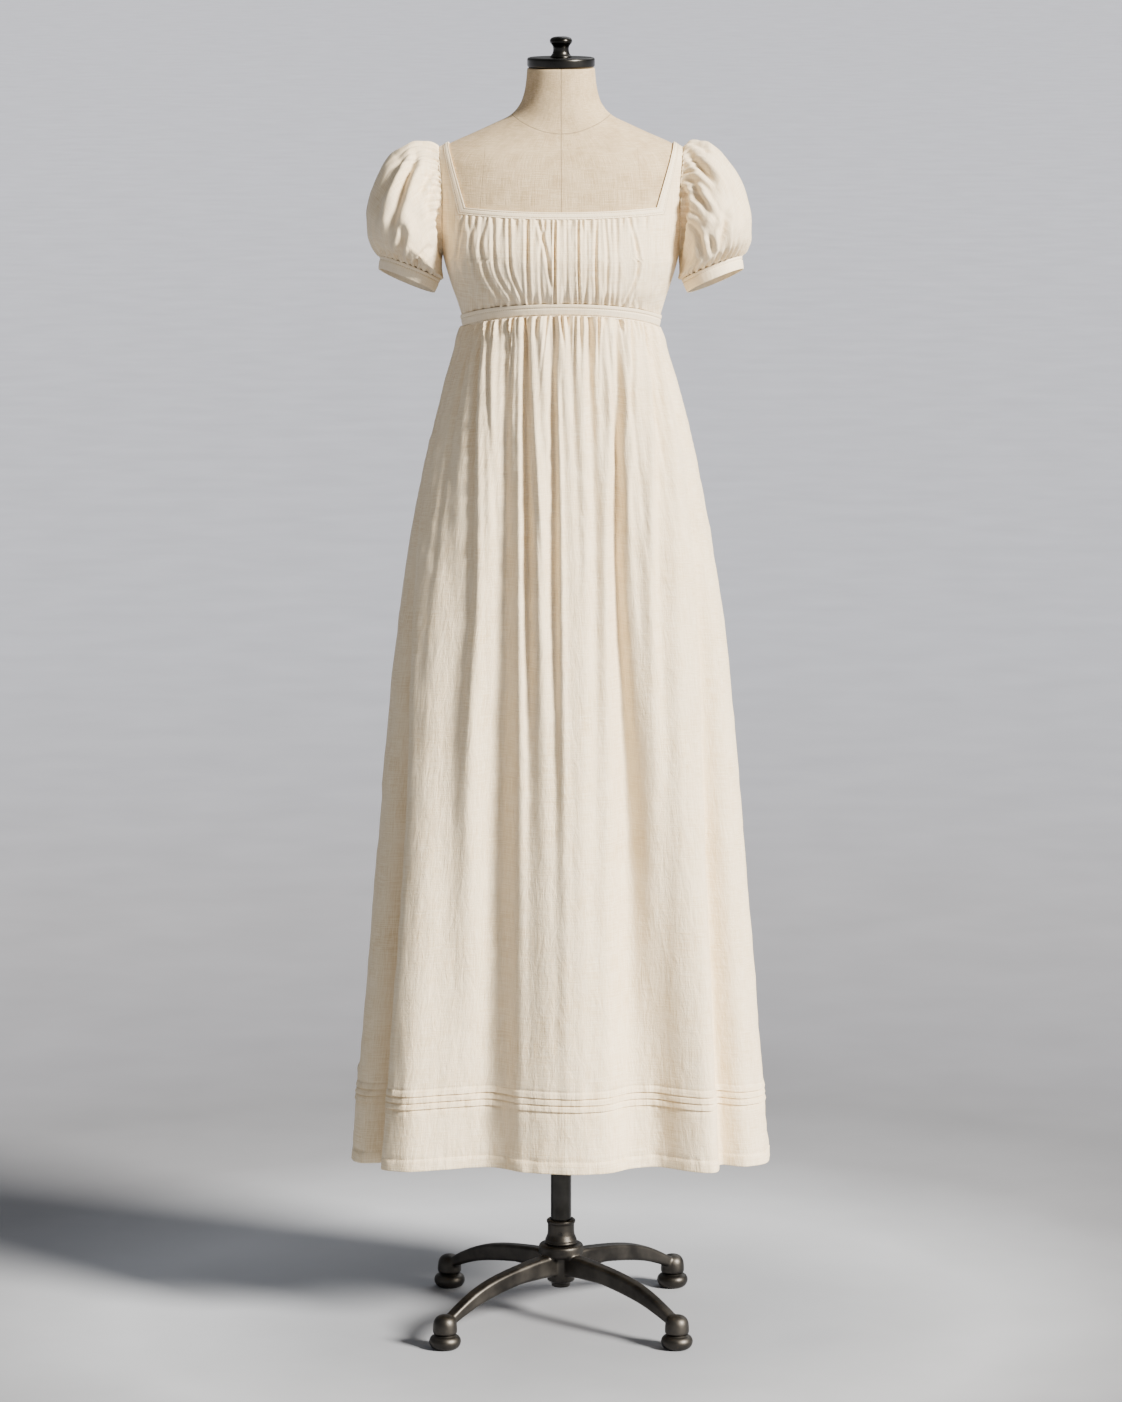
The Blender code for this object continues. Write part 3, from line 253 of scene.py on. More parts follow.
# Soft folds of the sleeves, as seen from the front: the path of each in millimetres
# out from the pole's axis and up from the floor, its depth and its half width.
SleeveFold = namedtuple("SleeveFold", "depth width path")
LEFT_SLEEVE_FOLDS = [
    SleeveFold(6.0, 7.0, [(160, 1592), (190, 1589), (200, 1570), (211, 1539), (221, 1508), (228, 1470)]),
    SleeveFold(4.5, 6.5, [(176, 1602), (212, 1583), (226, 1559), (239, 1534), (243, 1500)]),
    SleeveFold(3.2, 4.5, [(156, 1572), (169, 1569), (178, 1554), (184, 1536)]),
    SleeveFold(3.2, 5.0, [(156, 1560), (169, 1544), (175, 1526), (171, 1508)]),
    SleeveFold(7.0, 5.0, [(158, 1526), (161, 1508), (160, 1484), (156, 1452)]),
    SleeveFold(4.6, 5.5, [(209, 1503), (206, 1490), (211, 1470), (214, 1450)]),
    SleeveFold(4.0, 5.0, [(172, 1474), (186, 1456), (194, 1440)]),
    SleeveFold(-3.0, 9.0, [(176, 1586), (196, 1556), (204, 1532)]),
    SleeveFold(-3.5, 10.0, [(203, 1518), (199, 1478)]),
]
RIGHT_SLEEVE_FOLDS = [
    SleeveFold(3.8, 4.6, [(161, 1606), (178, 1603), (188, 1599), (195, 1590)]),
    SleeveFold(5.0, 5.4, [(163, 1594), (171, 1586), (184, 1574), (207, 1551)]),
    SleeveFold(7.0, 5.0, [(160, 1550), (165, 1529), (161, 1500), (155, 1452)]),
    SleeveFold(4.2, 5.6, [(165, 1564), (173, 1554), (181, 1536), (197, 1511)]),
    SleeveFold(4.6, 5.6, [(212, 1522), (217, 1510), (213, 1493), (211, 1464)]),
    SleeveFold(3.4, 7.5, [(212, 1588), (226, 1560), (234, 1531), (237, 1496)]),
    SleeveFold(3.4, 5.0, [(190, 1494), (196, 1479), (199, 1460)]),
    SleeveFold(3.0, 5.4, [(171, 1503), (182, 1486), (187, 1452)]),
    SleeveFold(-3.2, 9.0, [(186, 1588), (203, 1564), (214, 1540)]),
    SleeveFold(-3.0, 9.0, [(200, 1512), (186, 1500)]),
]

SLEEVE_DROP = 0.150                  # from the armhole to the cuff along the cloth
ARMHOLE_RADIUS = 0.062               # mean radii, for lengths around the two gathered ends
CUFF_RADIUS = 0.042

# Small pleats drawn up on a stitched edge, in metres: the stretch of the edge that they
# lie on, the least and the most of their pitch, of their depth and of their reach away
# from the edge, and their half width as a share of the pitch.
Gathers = namedtuple("Gathers", "span pitch depth reach width")
FRONT_GATHERS = Gathers((-0.200, 0.150), (0.0070, 0.0135), (0.0022, 0.0054), (0.014, 0.065), 0.20)
BACK_GATHERS = FRONT_GATHERS._replace(span=(-0.200, 0.180))
LONG_GATHERS = Gathers((-0.190, 0.165), (0.013, 0.028), (0.0016, 0.0040), (0.10, 0.36), 0.16)
NECK_GATHERS = Gathers((-0.131, 0.116), (0.0080, 0.0170), (0.0010, 0.0028), (0.006, 0.027), 0.18)
BUST_GATHERS = Gathers((-0.112, 0.106), (0.0075, 0.0150), (0.0010, 0.0030), (0.007, 0.034), 0.18)
ARMHOLE_GATHERS = Gathers((-0.150, 0.150), (0.0060, 0.0105), (0.0014, 0.0030), (0.012, 0.048), 0.26)
CUFF_GATHERS = Gathers((-0.118, 0.118), (0.0060, 0.0105), (0.0024, 0.0046), (0.014, 0.050), 0.27)
GATHER_LEAN = 0.12                   # the most that one slants, as a slope

# ------------------------------------------------------------------- the form and stand
NECK_SEAM_Z = 1.618                  # of the collar seam at the centre front
NECK_SEAM_RISE = 5.35                # its rise to the sides, over the square of x
PANEL_SEAM_SLOPE = -0.08             # of the seams beside the centre: x over z
PANEL_SEAM_START = 0.228
PANEL_SEAM_TOP = 1.60
SEAM_HALF_WIDTH = 0.0009
FORM_EDGE = 0.0015                   # rounding of the form's flat top and foot
FORM_GIRTH = 0.95                    # mean girth, for the scale of its weave

FOOT_LOW, FOOT_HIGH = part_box("foot_front_right")
FOOT_SPREAD = (FOOT_LOW.x + FOOT_HIGH.x) / 2
FOOT_REACH = FOOT_SPREAD * math.sqrt(2)
POLE_LOW, POLE_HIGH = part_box("pole")

LegRow = namedtuple("LegRow", "reach top underside width")
LEG = [
    LegRow(0.008, 0.0905, 0.0600, 0.0205),
    LegRow(0.040, 0.0900, 0.0620, 0.0200),
    LegRow(0.075, 0.0870, 0.0625, 0.0195),
    LegRow(0.105, 0.0832, 0.0592, 0.0190),
    LegRow(0.135, 0.0775, 0.0540, 0.0185),
    LegRow(0.160, 0.0700, 0.0482, 0.0180),
    LegRow(0.183, 0.0600, 0.0405, 0.0175),
    LegRow(0.202, 0.0500, 0.0330, 0.0170),
    LegRow(0.219, 0.0400, 0.0262, 0.0165),
]
LEG_CHAMFER = 0.0030
LEG_STEPS = 40
CASTING_GRAIN = 0.0014               # size of the facets that the casting is fused from

# Turned pieces as (radius, z) down their outer side.
KNOB = [(0.0000, 1.7425), (0.0090, 1.7420), (0.0134, 1.7402), (0.0150, 1.7372), (0.0147, 1.7342),
        (0.0122, 1.7315), (0.0107, 1.7285), (0.0104, 1.7250), (0.0108, 1.7212), (0.0124, 1.7182),
        (0.0141, 1.7166), (0.0144, 1.7151), (0.0000, 1.7151)]
CAP = [(0.0000, 1.7150), (0.0418, 1.7150), (0.0440, 1.7141), (0.0448, 1.7125),
       (0.0448, 1.7040), (0.0436, 1.7024), (0.0420, 1.7015), (0.0000, 1.7015)]
BORE = 0.01445
SOCKET = [(BORE, 0.1380), (0.0178, 0.1380), (0.0194, 0.1368), (0.0198, 0.1350),
          (0.0193, 0.1330), (0.0181, 0.1316), (0.0181, 0.1215), (0.0187, 0.1165),
          (0.0208, 0.1112), (0.0218, 0.1092), (0.0212, 0.1080), (0.0222, 0.1068),
          (0.0222, 0.1050), (0.0210, 0.1043), (BORE, 0.1043)]
HUB = [(0.0000, 0.1040), (0.0262, 0.1040), (0.0293, 0.1028), (0.0305, 0.1000),
       (0.0305, 0.0905), (0.0285, 0.0880), (0.0205, 0.0865), (0.0190, 0.0840),
       (0.0190, 0.0530), (0.0182, 0.0512), (0.0140, 0.0508), (0.0132, 0.0490),
       (0.0130, 0.0445), (0.0118, 0.0430), (0.0000, 0.0430)]
ANKLE = [(0.0000, 0.0465), (0.0070, 0.0455), (0.0125, 0.0425), (0.0155, 0.0370),
         (0.0163, 0.0300), (0.0165, 0.0225), (0.0158, 0.0203), (0.0000, 0.0203)]
FOOT = [(0.0000, 0.0200), (0.0138, 0.0200), (0.0150, 0.0186), (0.0192, 0.0162),
        (0.0214, 0.0120), (0.0214, 0.0080), (0.0196, 0.0034), (0.0160, 0.0000),
        (0.0000, 0.0000)]


# --------------------------------------------------------------------------- materials
def hex_colour(code):
    """An sRGB hex colour as the linear colour that a shader takes."""
    parts = [int(code[i:i + 2], 16) / 255 for i in (1, 3, 5)]
    linear = [p / 12.92 if p <= 0.04045 else ((p + 0.055) / 1.055) ** 2.4 for p in parts]
    return (*linear, 1.0)


def node(tree, kind, inputs=None, **settings):
    """Adds a node: its settings, and its inputs as values or as sockets to link."""
    made = tree.nodes.new("ShaderNode" + kind)
    for name, value in settings.items():
        setattr(made, name, value)
    for name, value in (inputs or {}).items():
        if isinstance(value, bpy.types.NodeSocket):
            tree.links.new(value, made.inputs[name])
        else:
            made.inputs[name].default_value = value
    return made


def new_material(name, **settings):
    """A material's tree and its shader, with the shader's own sockets set."""
    made = bpy.data.materials.new(name)
    made.use_nodes = True
    shader = made.node_tree.nodes["Principled BSDF"]
    for socket, value in settings.items():
        shader.inputs[socket.replace("_", " ")].default_value = value
    return made, made.node_tree, shader


def maths(tree, operation, *values):
    """The result of a sum on values, or on sockets to link."""
    return node(tree, "Math", dict(enumerate(values)), operation=operation).outputs[0]


def stretched(tree, place, scale):
    return node(tree, "VectorMath", {0: place, 1: scale}, operation="MULTIPLY").outputs[0]


def noise(tree, place, scale, detail, **settings):
    settings = {"Vector": place, "Scale": scale, "Detail": detail, **settings}
    return node(tree, "TexNoise", settings).outputs["Fac"]


def mixed(tree, share, first, second):
    """A colour between two, each a hex code or a socket."""
    ends = {key: hex_colour(colour) if isinstance(colour, str) else colour
            for key, colour in (("Color1", first), ("Color2", second))}
    return node(tree, "MixRGB", {"Fac": share, **ends}).outputs[0]


def bump(tree, height, strength, distance, over=None, **settings):
    """Normals with a relief added, over those of an earlier bump if one is given."""
    inputs = {"Height": height, "Strength": strength, "Distance": distance}
    if over:
        inputs["Normal"] = over
    return node(tree, "Bump", inputs, **settings).outputs[0]


SLUB_LENGTH = 22                     # times as long as wide
PATCHES = (14, 14, 1)                # shade changes in a metre
CRINKLES = (110, 34, 1)              # creases in a metre across and along the cloth


def woven(name, pale, deep, thread_mm, slub_mm, thread_depth, slub_depth, crinkle_depth,
          **settings):
    """Plain woven cloth: crossing threads, thick and thin, with uneven slubs.

    The threads make a fine even roughness, the slubs long faint streaks both ways, and
    the crinkle the small creases of handled cloth.
    """
    made, tree, shader = new_material(name, **settings)
    place = node(tree, "UVMap", uv_map="cloth").outputs["UV"]
    split = node(tree, "SeparateXYZ", {"Vector": place}).outputs
    threads = [maths(tree, "SINE", maths(tree, "MULTIPLY", split[axis], 2 * math.pi / (thread_mm / 1000)))
               for axis in ("X", "Y")]
    weave = maths(tree, "MULTIPLY", *threads)
    short, long = 1000 / slub_mm, 1000 / (slub_mm * SLUB_LENGTH)
    streaks = [noise(tree, stretched(tree, place, scale), 1.0, 2.0, Roughness=0.6)
               for scale in ((short, long, 1), (long, short, 1))]
    slubs = maths(tree, "ADD", *streaks)
    patches = noise(tree, stretched(tree, place, PATCHES), 1.0, 3.0)
    share = node(tree, "MapRange", {"Value": slubs, "From Min": 0.82, "From Max": 1.18})
    uneven = maths(tree, "MULTIPLY", share.outputs[0], patches)
    colour = mixed(tree, uneven, pale, deep)
    tree.links.new(colour, shader.inputs["Base Color"])
    fine = bump(tree, weave, thread_depth, 0.0002)
    slubby = bump(tree, slubs, slub_depth, 0.0008, fine)
    crinkle = noise(tree, stretched(tree, place, CRINKLES), 1.0, 4.0, Roughness=0.62, Distortion=0.6)
    rough = bump(tree, crinkle, crinkle_depth, 0.0045, slubby)
    tree.links.new(rough, shader.inputs["Normal"])
    return made, tree, shader, colour, rough


def gown_cloth():
    """Washed cotton and linen in plain weave: matt, faintly streaked, warm in its folds.

    Its real threads are 0.4 mm apart, too fine to show, and are drawn 0.9 mm apart.
    """
    return woven("washed_cotton_linen_weave", "#F6E5C6", "#D4B886", 0.9, 1.3, 0.3, 0.45, 0.40,
                 Roughness=0.88, IOR=1.46, Sheen_Weight=0.12, Sheen_Roughness=0.5)[0]


def gown_bands():
    """The same cloth folded double and pressed: smoother, so a little paler."""
    return woven("pressed_double_cotton_linen", "#F9E9CC", "#EAD5AC", 0.9, 1.3, 0.25, 0.35, 0.22,
                 Roughness=0.84, IOR=1.46, Sheen_Weight=0.10, Sheen_Roughness=0.5)[0]


def sewing_thread():
    """Matt cotton sewing thread, drawn a touch darker than the cloth as painted shade along its rows of
    stitches.
    """
    made, tree, shader = new_material("cotton_sewing_thread", Roughness=0.8, IOR=1.46,
                                      Sheen_Weight=0.1)
    place = node(tree, "TexCoord").outputs["Object"]
    # darker than the cloth: painted shade along the rows of stitches
    colour = mixed(tree, noise(tree, place, 900.0, 1.0), "#CDB892", "#B49D76")
    tree.links.new(colour, shader.inputs["Base Color"])
    return made


def seam_line(tree, distance):
    """1 on a seam and 0 away from it, from the distance to it in metres."""
    return node(tree, "MapRange", {"Value": distance, "From Min": SEAM_HALF_WIDTH * 0.4,
                                   "From Max": SEAM_HALF_WIDTH, "To Min": 1.0, "To Max": 0.0},
                interpolation_type="SMOOTHSTEP").outputs[0]


def absolute_offset(tree, value, middle):
    return maths(tree, "ABSOLUTE", maths(tree, "SUBTRACT", value, middle))


def form_linen():
    """Unbleached linen pasted on the form: coarse, slubby, matt and stained, seams darker.

    Its threads are 0.7 mm apart and are drawn 1.1 mm apart so that they show.
    """
    made, tree, shader, colour, rough = woven(
        "unbleached_linen_cover", "#DAC39D", "#AB8E64", 1.1, 1.1, 0.45, 0.9, 0.12,
        Roughness=0.92, IOR=1.46, Sheen_Weight=0.05)
    place = node(tree, "TexCoord").outputs["Object"]
    xyz = node(tree, "SeparateXYZ", {"Vector": place}).outputs
    middle = absolute_offset(tree, xyz["X"], 0.0)
    square = maths(tree, "MULTIPLY", xyz["X"], xyz["X"])
    rise = maths(tree, "MULTIPLY_ADD", square, NECK_SEAM_RISE, NECK_SEAM_Z)
    collar = absolute_offset(tree, xyz["Z"], rise)
    lean = maths(tree, "MULTIPLY_ADD", xyz["Z"], PANEL_SEAM_SLOPE, PANEL_SEAM_START)
    panel = absolute_offset(tree, middle, lean)
    weak = maths(tree, "MULTIPLY", maths(tree, "LESS_THAN", xyz["Z"], PANEL_SEAM_TOP), 0.35)
    seams = seam_line(tree, middle)
    for line, strength in ((seam_line(tree, collar), 0.9), (seam_line(tree, panel), weak)):
        seams = maths(tree, "MAXIMUM", seams, maths(tree, "MULTIPLY", line, strength))
    marked = mixed(tree, maths(tree, "MULTIPLY", seams, 0.60), colour, "#7F6C54")
    blot = noise(tree, place, 38.0, 6.0, Roughness=0.7)
    stain = node(tree, "MapRange", {"Value": blot, "From Min": 0.46, "From Max": 0.70, "To Max": 0.50})
    aged = mixed(tree, stain.outputs[0], marked, "#A58C66")
    tree.links.new(aged, shader.inputs["Base Color"])
    sunk = bump(tree, seams, 0.6, 0.0008, rough, invert=True)
    tree.links.new(sunk, shader.inputs["Normal"])
    return made


def dark_metal(name, dark, light, rough_low, rough_high, grain_mm, grain_depth):
    """Dark metal with an uneven patina; its grain is the roughness left by its making."""
    made, tree, shader = new_material(name, Metallic=1.0)
    place = node(tree, "TexCoord").outputs["Object"]
    patina = noise(tree, place, 28.0, 4.0)
    grain = noise(tree, place, 1000 / grain_mm, 2.0)
    share = node(tree, "MapRange", {"Value": patina, "From Min": 0.35, "From Max": 0.65})
    colour = mixed(tree, share.outputs[0], dark, light)
    tree.links.new(colour, shader.inputs["Base Color"])
    rough = node(tree, "MapRange", {"Value": patina, "From Min": 0.3, "From Max": 0.7,
                                    "To Min": rough_low, "To Max": rough_high})
    tree.links.new(rough.outputs[0], shader.inputs["Roughness"])
    tree.links.new(bump(tree, grain, grain_depth, 0.0003), shader.inputs["Normal"])
    return made


def bronzed_iron():
    """Bronzed iron casting: dark brown-black satin with a fine sand grain under it."""
    return dark_metal("bronzed_cast_iron", "#343230", "#4C4945", 0.38, 0.50, 1.2, 0.25)


def gunmetal():
    """Turned steel, chemically blacked: smoother and cooler, with tight highlights."""
    return dark_metal("blacked_turned_steel", "#282725", "#3C3B39", 0.24, 0.36, 0.8, 0.08)


# Painted light and shade on the paper, by distance from the pole in metres.  The sheet is flat:
# its shades stand for the light on a sweep, a painted shadow under the stand, a painted pool of
# light around it, painted shade where it would turn up, then the even grey of the wall.
SWEEP_PAINTED_LIGHT = [(0.00, "#84868C"), (0.35, "#9498A0"), (0.60, "#A6AAB2"), (0.95, "#7C7E84"),
         (1.30, "#6E7076"), (1.75, "#767880"), (2.80, "#80828A"), (6.00, "#8C909C"), (20.0, "#9599A6")]
SPREAD = SWEEP_PAINTED_LIGHT[-1][0] + 1             # the shades lie along the logarithm to this base


def paper_floor():
    """Pale grey paper sweep: matt, with the faint cloudiness of rolled paper and painted light and shade.
    """
    made, tree, shader = new_material("grey_paper_sweep", Roughness=0.9, IOR=1.45)
    place = node(tree, "TexCoord").outputs["Object"]
    away = node(tree, "VectorMath", {0: place}, operation="LENGTH").outputs["Value"]
    spread = maths(tree, "LOGARITHM", maths(tree, "ADD", away, 1.0), SPREAD)
    # painted light and shade by distance: shadow under the stand, pool of light around it, darker beyond
    painted_light_ramp = node(tree, "ValToRGB", {"Fac": spread})
    stops = painted_light_ramp.color_ramp.elements
    for k, (reach, code) in enumerate(SWEEP_PAINTED_LIGHT):
        at = math.log(reach + 1, SPREAD)
        stop = stops[k] if k < 2 else stops.new(at)
        stop.position = at
        stop.color = hex_colour(code)
    mottle = noise(tree, place, 5.0, 5.0)
    cloudy = node(tree, "MapRange", {"Value": mottle, "From Min": 0.3, "From Max": 0.7,
                                     "To Min": 0.95, "To Max": 1.05})
    colour = node(tree, "VectorMath", {0: painted_light_ramp.outputs["Color"], "Scale": cloudy.outputs[0]},
                  operation="SCALE")
    tree.links.new(colour.outputs[0], shader.inputs["Base Color"])
    return made


# --------------------------------------------------------------------- curves and folds
def ease(t):
    t = np.clip(t, 0.0, 1.0)
    return t * t * (3 - 2 * t)


def mix(a, b, t):
    return a + (b - a) * t


def power(value, exponent):
    return np.sign(value) * np.abs(value) ** exponent


class Curves:
    """Smooth curves through the columns of a table, read at its first column."""

    def __init__(self, rows):
        table = np.array(sorted(rows), float)
        self.at, self.values = table[:, 0], table[:, 1:]
        steps = np.diff(self.values, axis=0) / np.diff(self.at)[:, None]
        before, after = steps[:-1], steps[1:]
        together = before * after > 0
        inner = np.where(together, 2 * before * after / np.where(together, before + after, 1), 0)
        self.slopes = np.vstack([steps[:1], inner, steps[-1:]])

    def __call__(self, where):
        where = np.clip(np.asarray(where, float), self.at[0], self.at[-1])
        i = np.clip(np.searchsorted(self.at, where, side="right") - 1, 0, len(self.at) - 2)
        span = (self.at[i + 1] - self.at[i])[..., None]
        t = (where - self.at[i])[..., None] / span
        ends = (1 + 2 * t) * (1 - t) ** 2 * self.values[i] + t * t * (3 - 2 * t) * self.values[i + 1]
        bends = t * (1 - t) ** 2 * self.slopes[i] + t * t * (t - 1) * self.slopes[i + 1]
        return np.moveaxis(ends + bends * span, -1, 0)


form_curves = Curves(FORM)
skirt_curves = Curves(SKIRT)
sleeve_curves = Curves(SLEEVE)
leg_curves = Curves(LEG)


def section(curves, where, bearing):
    """x, y and the outward direction of a level section at a bearing from the front."""
    half, front, back, n = curves(where)
    a = np.radians(bearing)
    side = np.where(np.cos(a) > -1e-9, -1.0, 1.0)
    depth = np.where(side < 0, front, back)
    x = half * power(np.sin(a), 2 / n)
    y = side * depth * np.abs(np.cos(a)) ** (2 / n)
    out = np.stack([power(x / half, n - 1) / half, power(y / depth, n - 1) / depth,
                    np.zeros_like(x)], axis=-1)
    return x, y, out / np.linalg.norm(out, axis=-1, keepdims=True)


def run_along(points):
    """Length along a row of points up to each of them."""
    return np.concatenate([[0], np.cumsum(np.linalg.norm(np.diff(points, axis=0), axis=1))])


def closer_at_ends(count, amount):
    """count steps from 0 to 1, drawn closer together at both ends by an amount to 1."""
    even = np.linspace(0, 1, count + 1)
    return mix(even, 0.5 - 0.5 * np.cos(math.pi * even), amount)


def even_bearings(curves, where, start, stop, count):
    """Bearings whose points lie evenly along one level section."""
    dense = np.linspace(start, stop, 6001)
    x, y, _ = section(curves, np.full_like(dense, where), dense)
    length = run_along(np.stack([x, y], axis=-1))
    return np.interp(np.linspace(0, length[-1], count), length, dense)


def crease(away, width, steep=0.0):
    """Section of a fold: a trough of depth 1 between two soft ridges.

    steep from -1 to 1 makes its minus or its plus side the steeper one.
    """
    t = away / (width * (1 - 0.55 * steep * np.sign(away)))
    return 0.38 * np.exp(-((np.abs(t) - 1.9) / 0.95) ** 2) - np.exp(-t * t)


def gathers(across, away, rng, kind):
    """Small pleats of one kind along an edge, each fading out away from it."""
    total = np.zeros(np.broadcast(across, away).shape)
    at = kind.span[0]
    while at < kind.span[1]:
        step = rng.uniform(*kind.pitch)
        lean = rng.uniform(-GATHER_LEAN, GATHER_LEAN)
        deep, far = rng.uniform(*kind.depth), rng.uniform(*kind.reach)
        fade = np.exp(-(away / far) ** 2)
        total += deep * crease(across - at - lean * away, step * kind.width) * fade
        at += step
    return total


def rumple(u, v, size, seed):
    """Soft unevenness of handled cloth, from -1 to 1, in lumps of about one size."""
    count = 64
    lattice = np.random.default_rng(seed).uniform(-1, 1, (count, count))
    a, b = u / size, v / size
    i, j = np.floor(a).astype(int), np.floor(b).astype(int)
    s, t = ease(a - i), ease(b - j)
    i, j, right, above = i % count, j % count, (i + 1) % count, (j + 1) % count
    low = mix(lattice[i, j], lattice[right, j], s)
    high = mix(lattice[i, above], lattice[right, above], s)
    return mix(low, high, t)


def near_path(x, z, path):
    """Distance to a path and the share of the path that lies before the nearest point."""
    points = np.array(path, float) / 1000
    before = run_along(points)
    before /= before[-1]
    best, share = np.full(x.shape, np.inf), np.zeros(x.shape)
    for k, (a, b) in enumerate(zip(points, points[1:])):
        run = b - a
        t = np.clip(((x - a[0]) * run[0] + (z - a[1]) * run[1]) / (run @ run), 0, 1)
        away = np.hypot(x - a[0] - t * run[0], z - a[1] - t * run[1])
        nearer = away < best
        best = np.where(nearer, away, best)
        share = np.where(nearer, mix(before[k], before[k + 1], t), share)
    return best, share


# ----------------------------------------------------------------------- making meshes
def finish_mesh(name, points, faces, material, sharp=60.0, uv=None):
    mesh = bpy.data.meshes.new(name)
    mesh.from_pydata(np.asarray(points).tolist(), [], [list(f) for f in faces])
    if uv is not None:
        layer = mesh.uv_layers.new(name="cloth")
        corners = np.zeros(len(mesh.loops), int)
        mesh.loops.foreach_get("vertex_index", corners)
        layer.data.foreach_set("uv", np.asarray(uv, float)[corners].ravel())
    mesh.validate()
    mesh.materials.append(material)
    mesh.shade_smooth()
    mesh.set_sharp_from_angle(angle=math.radians(sharp))
    piece = bpy.data.objects.new(name, mesh)
    bpy.context.scene.collection.objects.link(piece)
    return piece


def grid_index(shape, first=0):
    return first + np.arange(shape[0] * shape[1]).reshape(shape[:2])


def grid_quads(index):
    return np.stack([index[:-1, :-1], index[1:, :-1], index[1:, 1:], index[:-1, 1:]],
                    axis=-1).reshape(-1, 4)


def vertex_normals(points, quads):
    a, b, c, d = (points[quads[:, k]] for k in range(4))
    across = np.cross(c - a, d - b)
    normals = np.zeros_like(points)
    for k in range(4):
        np.add.at(normals, quads[:, k], across)
    return normals / np.maximum(np.linalg.norm(normals, axis=1, keepdims=True), 1e-12)


def face_inward(points, normals):
    return ((points - points.mean(0)) * normals).sum() < 0


def cloth_wall(name, points, quads, uv, material, wall, sharp=75.0):
    """A closed wall of cloth inward from its outer face, with its cut edges closed."""
    normals = vertex_normals(points, quads)
    if face_inward(points, normals):
        quads, normals = quads[:, ::-1], -normals
    count = len(points)
    edges = np.concatenate([quads[:, [k, (k + 1) % 4]] for k in range(4)])
    keys = edges.min(1) * count + edges.max(1)
    _, first, repeats = np.unique(keys, return_index=True, return_counts=True)
    rim = edges[first[repeats == 1]]
    rim_quads = np.stack([rim[:, 1], rim[:, 0], rim[:, 0] + count, rim[:, 1] + count], axis=1)
    faces = np.concatenate([quads, quads[:, ::-1] + count, rim_quads])
    both = np.concatenate([points, points - normals * wall])
    return finish_mesh(name, both, faces.tolist(), material, sharp, np.tile(uv, (2, 1)))


def rounded(profile, radius, steps=5):
    """A profile with each corner turned into a short curve of at most that reach."""
    points = [Vector(p) for p in profile]
    result = [points[0]]
    for before, corner, after in zip(points, points[1:], points[2:]):
        reach_in = min(radius, (corner - before).length / 2)
        reach_out = min(radius, (after - corner).length / 2)
        start = corner + (before - corner).normalized() * reach_in
        end = corner + (after - corner).normalized() * reach_out
        for k in range(steps + 1):
            t = k / steps
            result.append(start * (1 - t) ** 2 + corner * 2 * t * (1 - t) + end * t * t)
    return result + [points[-1]]


def turned_faces(profile, centre, segments, closed=False):
    """Points and faces of a turned shape; a closed profile makes a tube."""
    points, rings = [], []
    for radius, z in profile:
        count = 1 if radius < 1e-9 else segments
        rings.append([len(points) + k for k in range(count)])
        for k in range(count):
            a = 2 * math.pi * k / segments
            points.append((centre[0] + radius * math.cos(a), centre[1] + radius * math.sin(a), z))
    pairs = list(zip(rings, rings[1:] + (rings[:1] if closed else [])))
    faces = []
    for upper, lower in pairs:
        for k in range(segments):
            m = (k + 1) % segments
            corners = [upper[k % len(upper)], lower[k % len(lower)],
                       lower[m % len(lower)], upper[m % len(upper)]]
            faces.append(list(dict.fromkeys(corners)))
    return points, faces


def turned(name, profile, material, radius, centre=(0.0, 0.0), segments=96, closed=False):
    smooth = rounded(profile, radius)
    points, faces = turned_faces(smooth, centre, segments, closed)
    return finish_mesh(name, points, faces, material, 40.0)


def place(piece, slot, *nodes):
    """Every piece is part of the one body, and stands for its nodes of the part."""
    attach(piece, "root")
    if nodes:
        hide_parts(*nodes)
    return piece


# ---------------------------------------------------------------------- form and stand
def make_form(linen):
    low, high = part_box("form_body")
    edge, shoulder, chest = FORM_EDGE, 1.58, 1.50
    levels = np.concatenate([np.linspace(high.z - edge, shoulder, 60),
                             np.linspace(shoulder - 0.003, low.z + edge, 90)])
    bearings = even_bearings(form_curves, chest, -180, 180, 181)[:-1]
    rings = []
    for z, shrink in ((high.z, edge), (high.z - edge * 0.3, edge * 0.3), *((z, 0.0) for z in levels),
                      (low.z + edge * 0.3, edge * 0.3), (low.z, edge)):
        x, y, out = section(form_curves, np.full_like(bearings, z), bearings)
        ring = np.stack([x, y, np.full_like(x, z)], axis=-1) - out * shrink
        rings.append(ring)
    rings = np.array(rings)
    rows, columns = rings.shape[:2]
    index = grid_index(rings.shape)
    wrapped = np.concatenate([index, index[:, :1]], axis=1)
    faces = grid_quads(wrapped).tolist() + [index[0][::-1].tolist(), index[-1].tolist()]
    points = rings.reshape(-1, 3)
    around = np.linspace(0, FORM_GIRTH, columns)
    uv = np.stack([np.tile(around, rows), points[:, 2]], axis=-1)
    return place(finish_mesh("dress_form", points, faces, linen, 50.0, uv), "form_linen", "form_body")


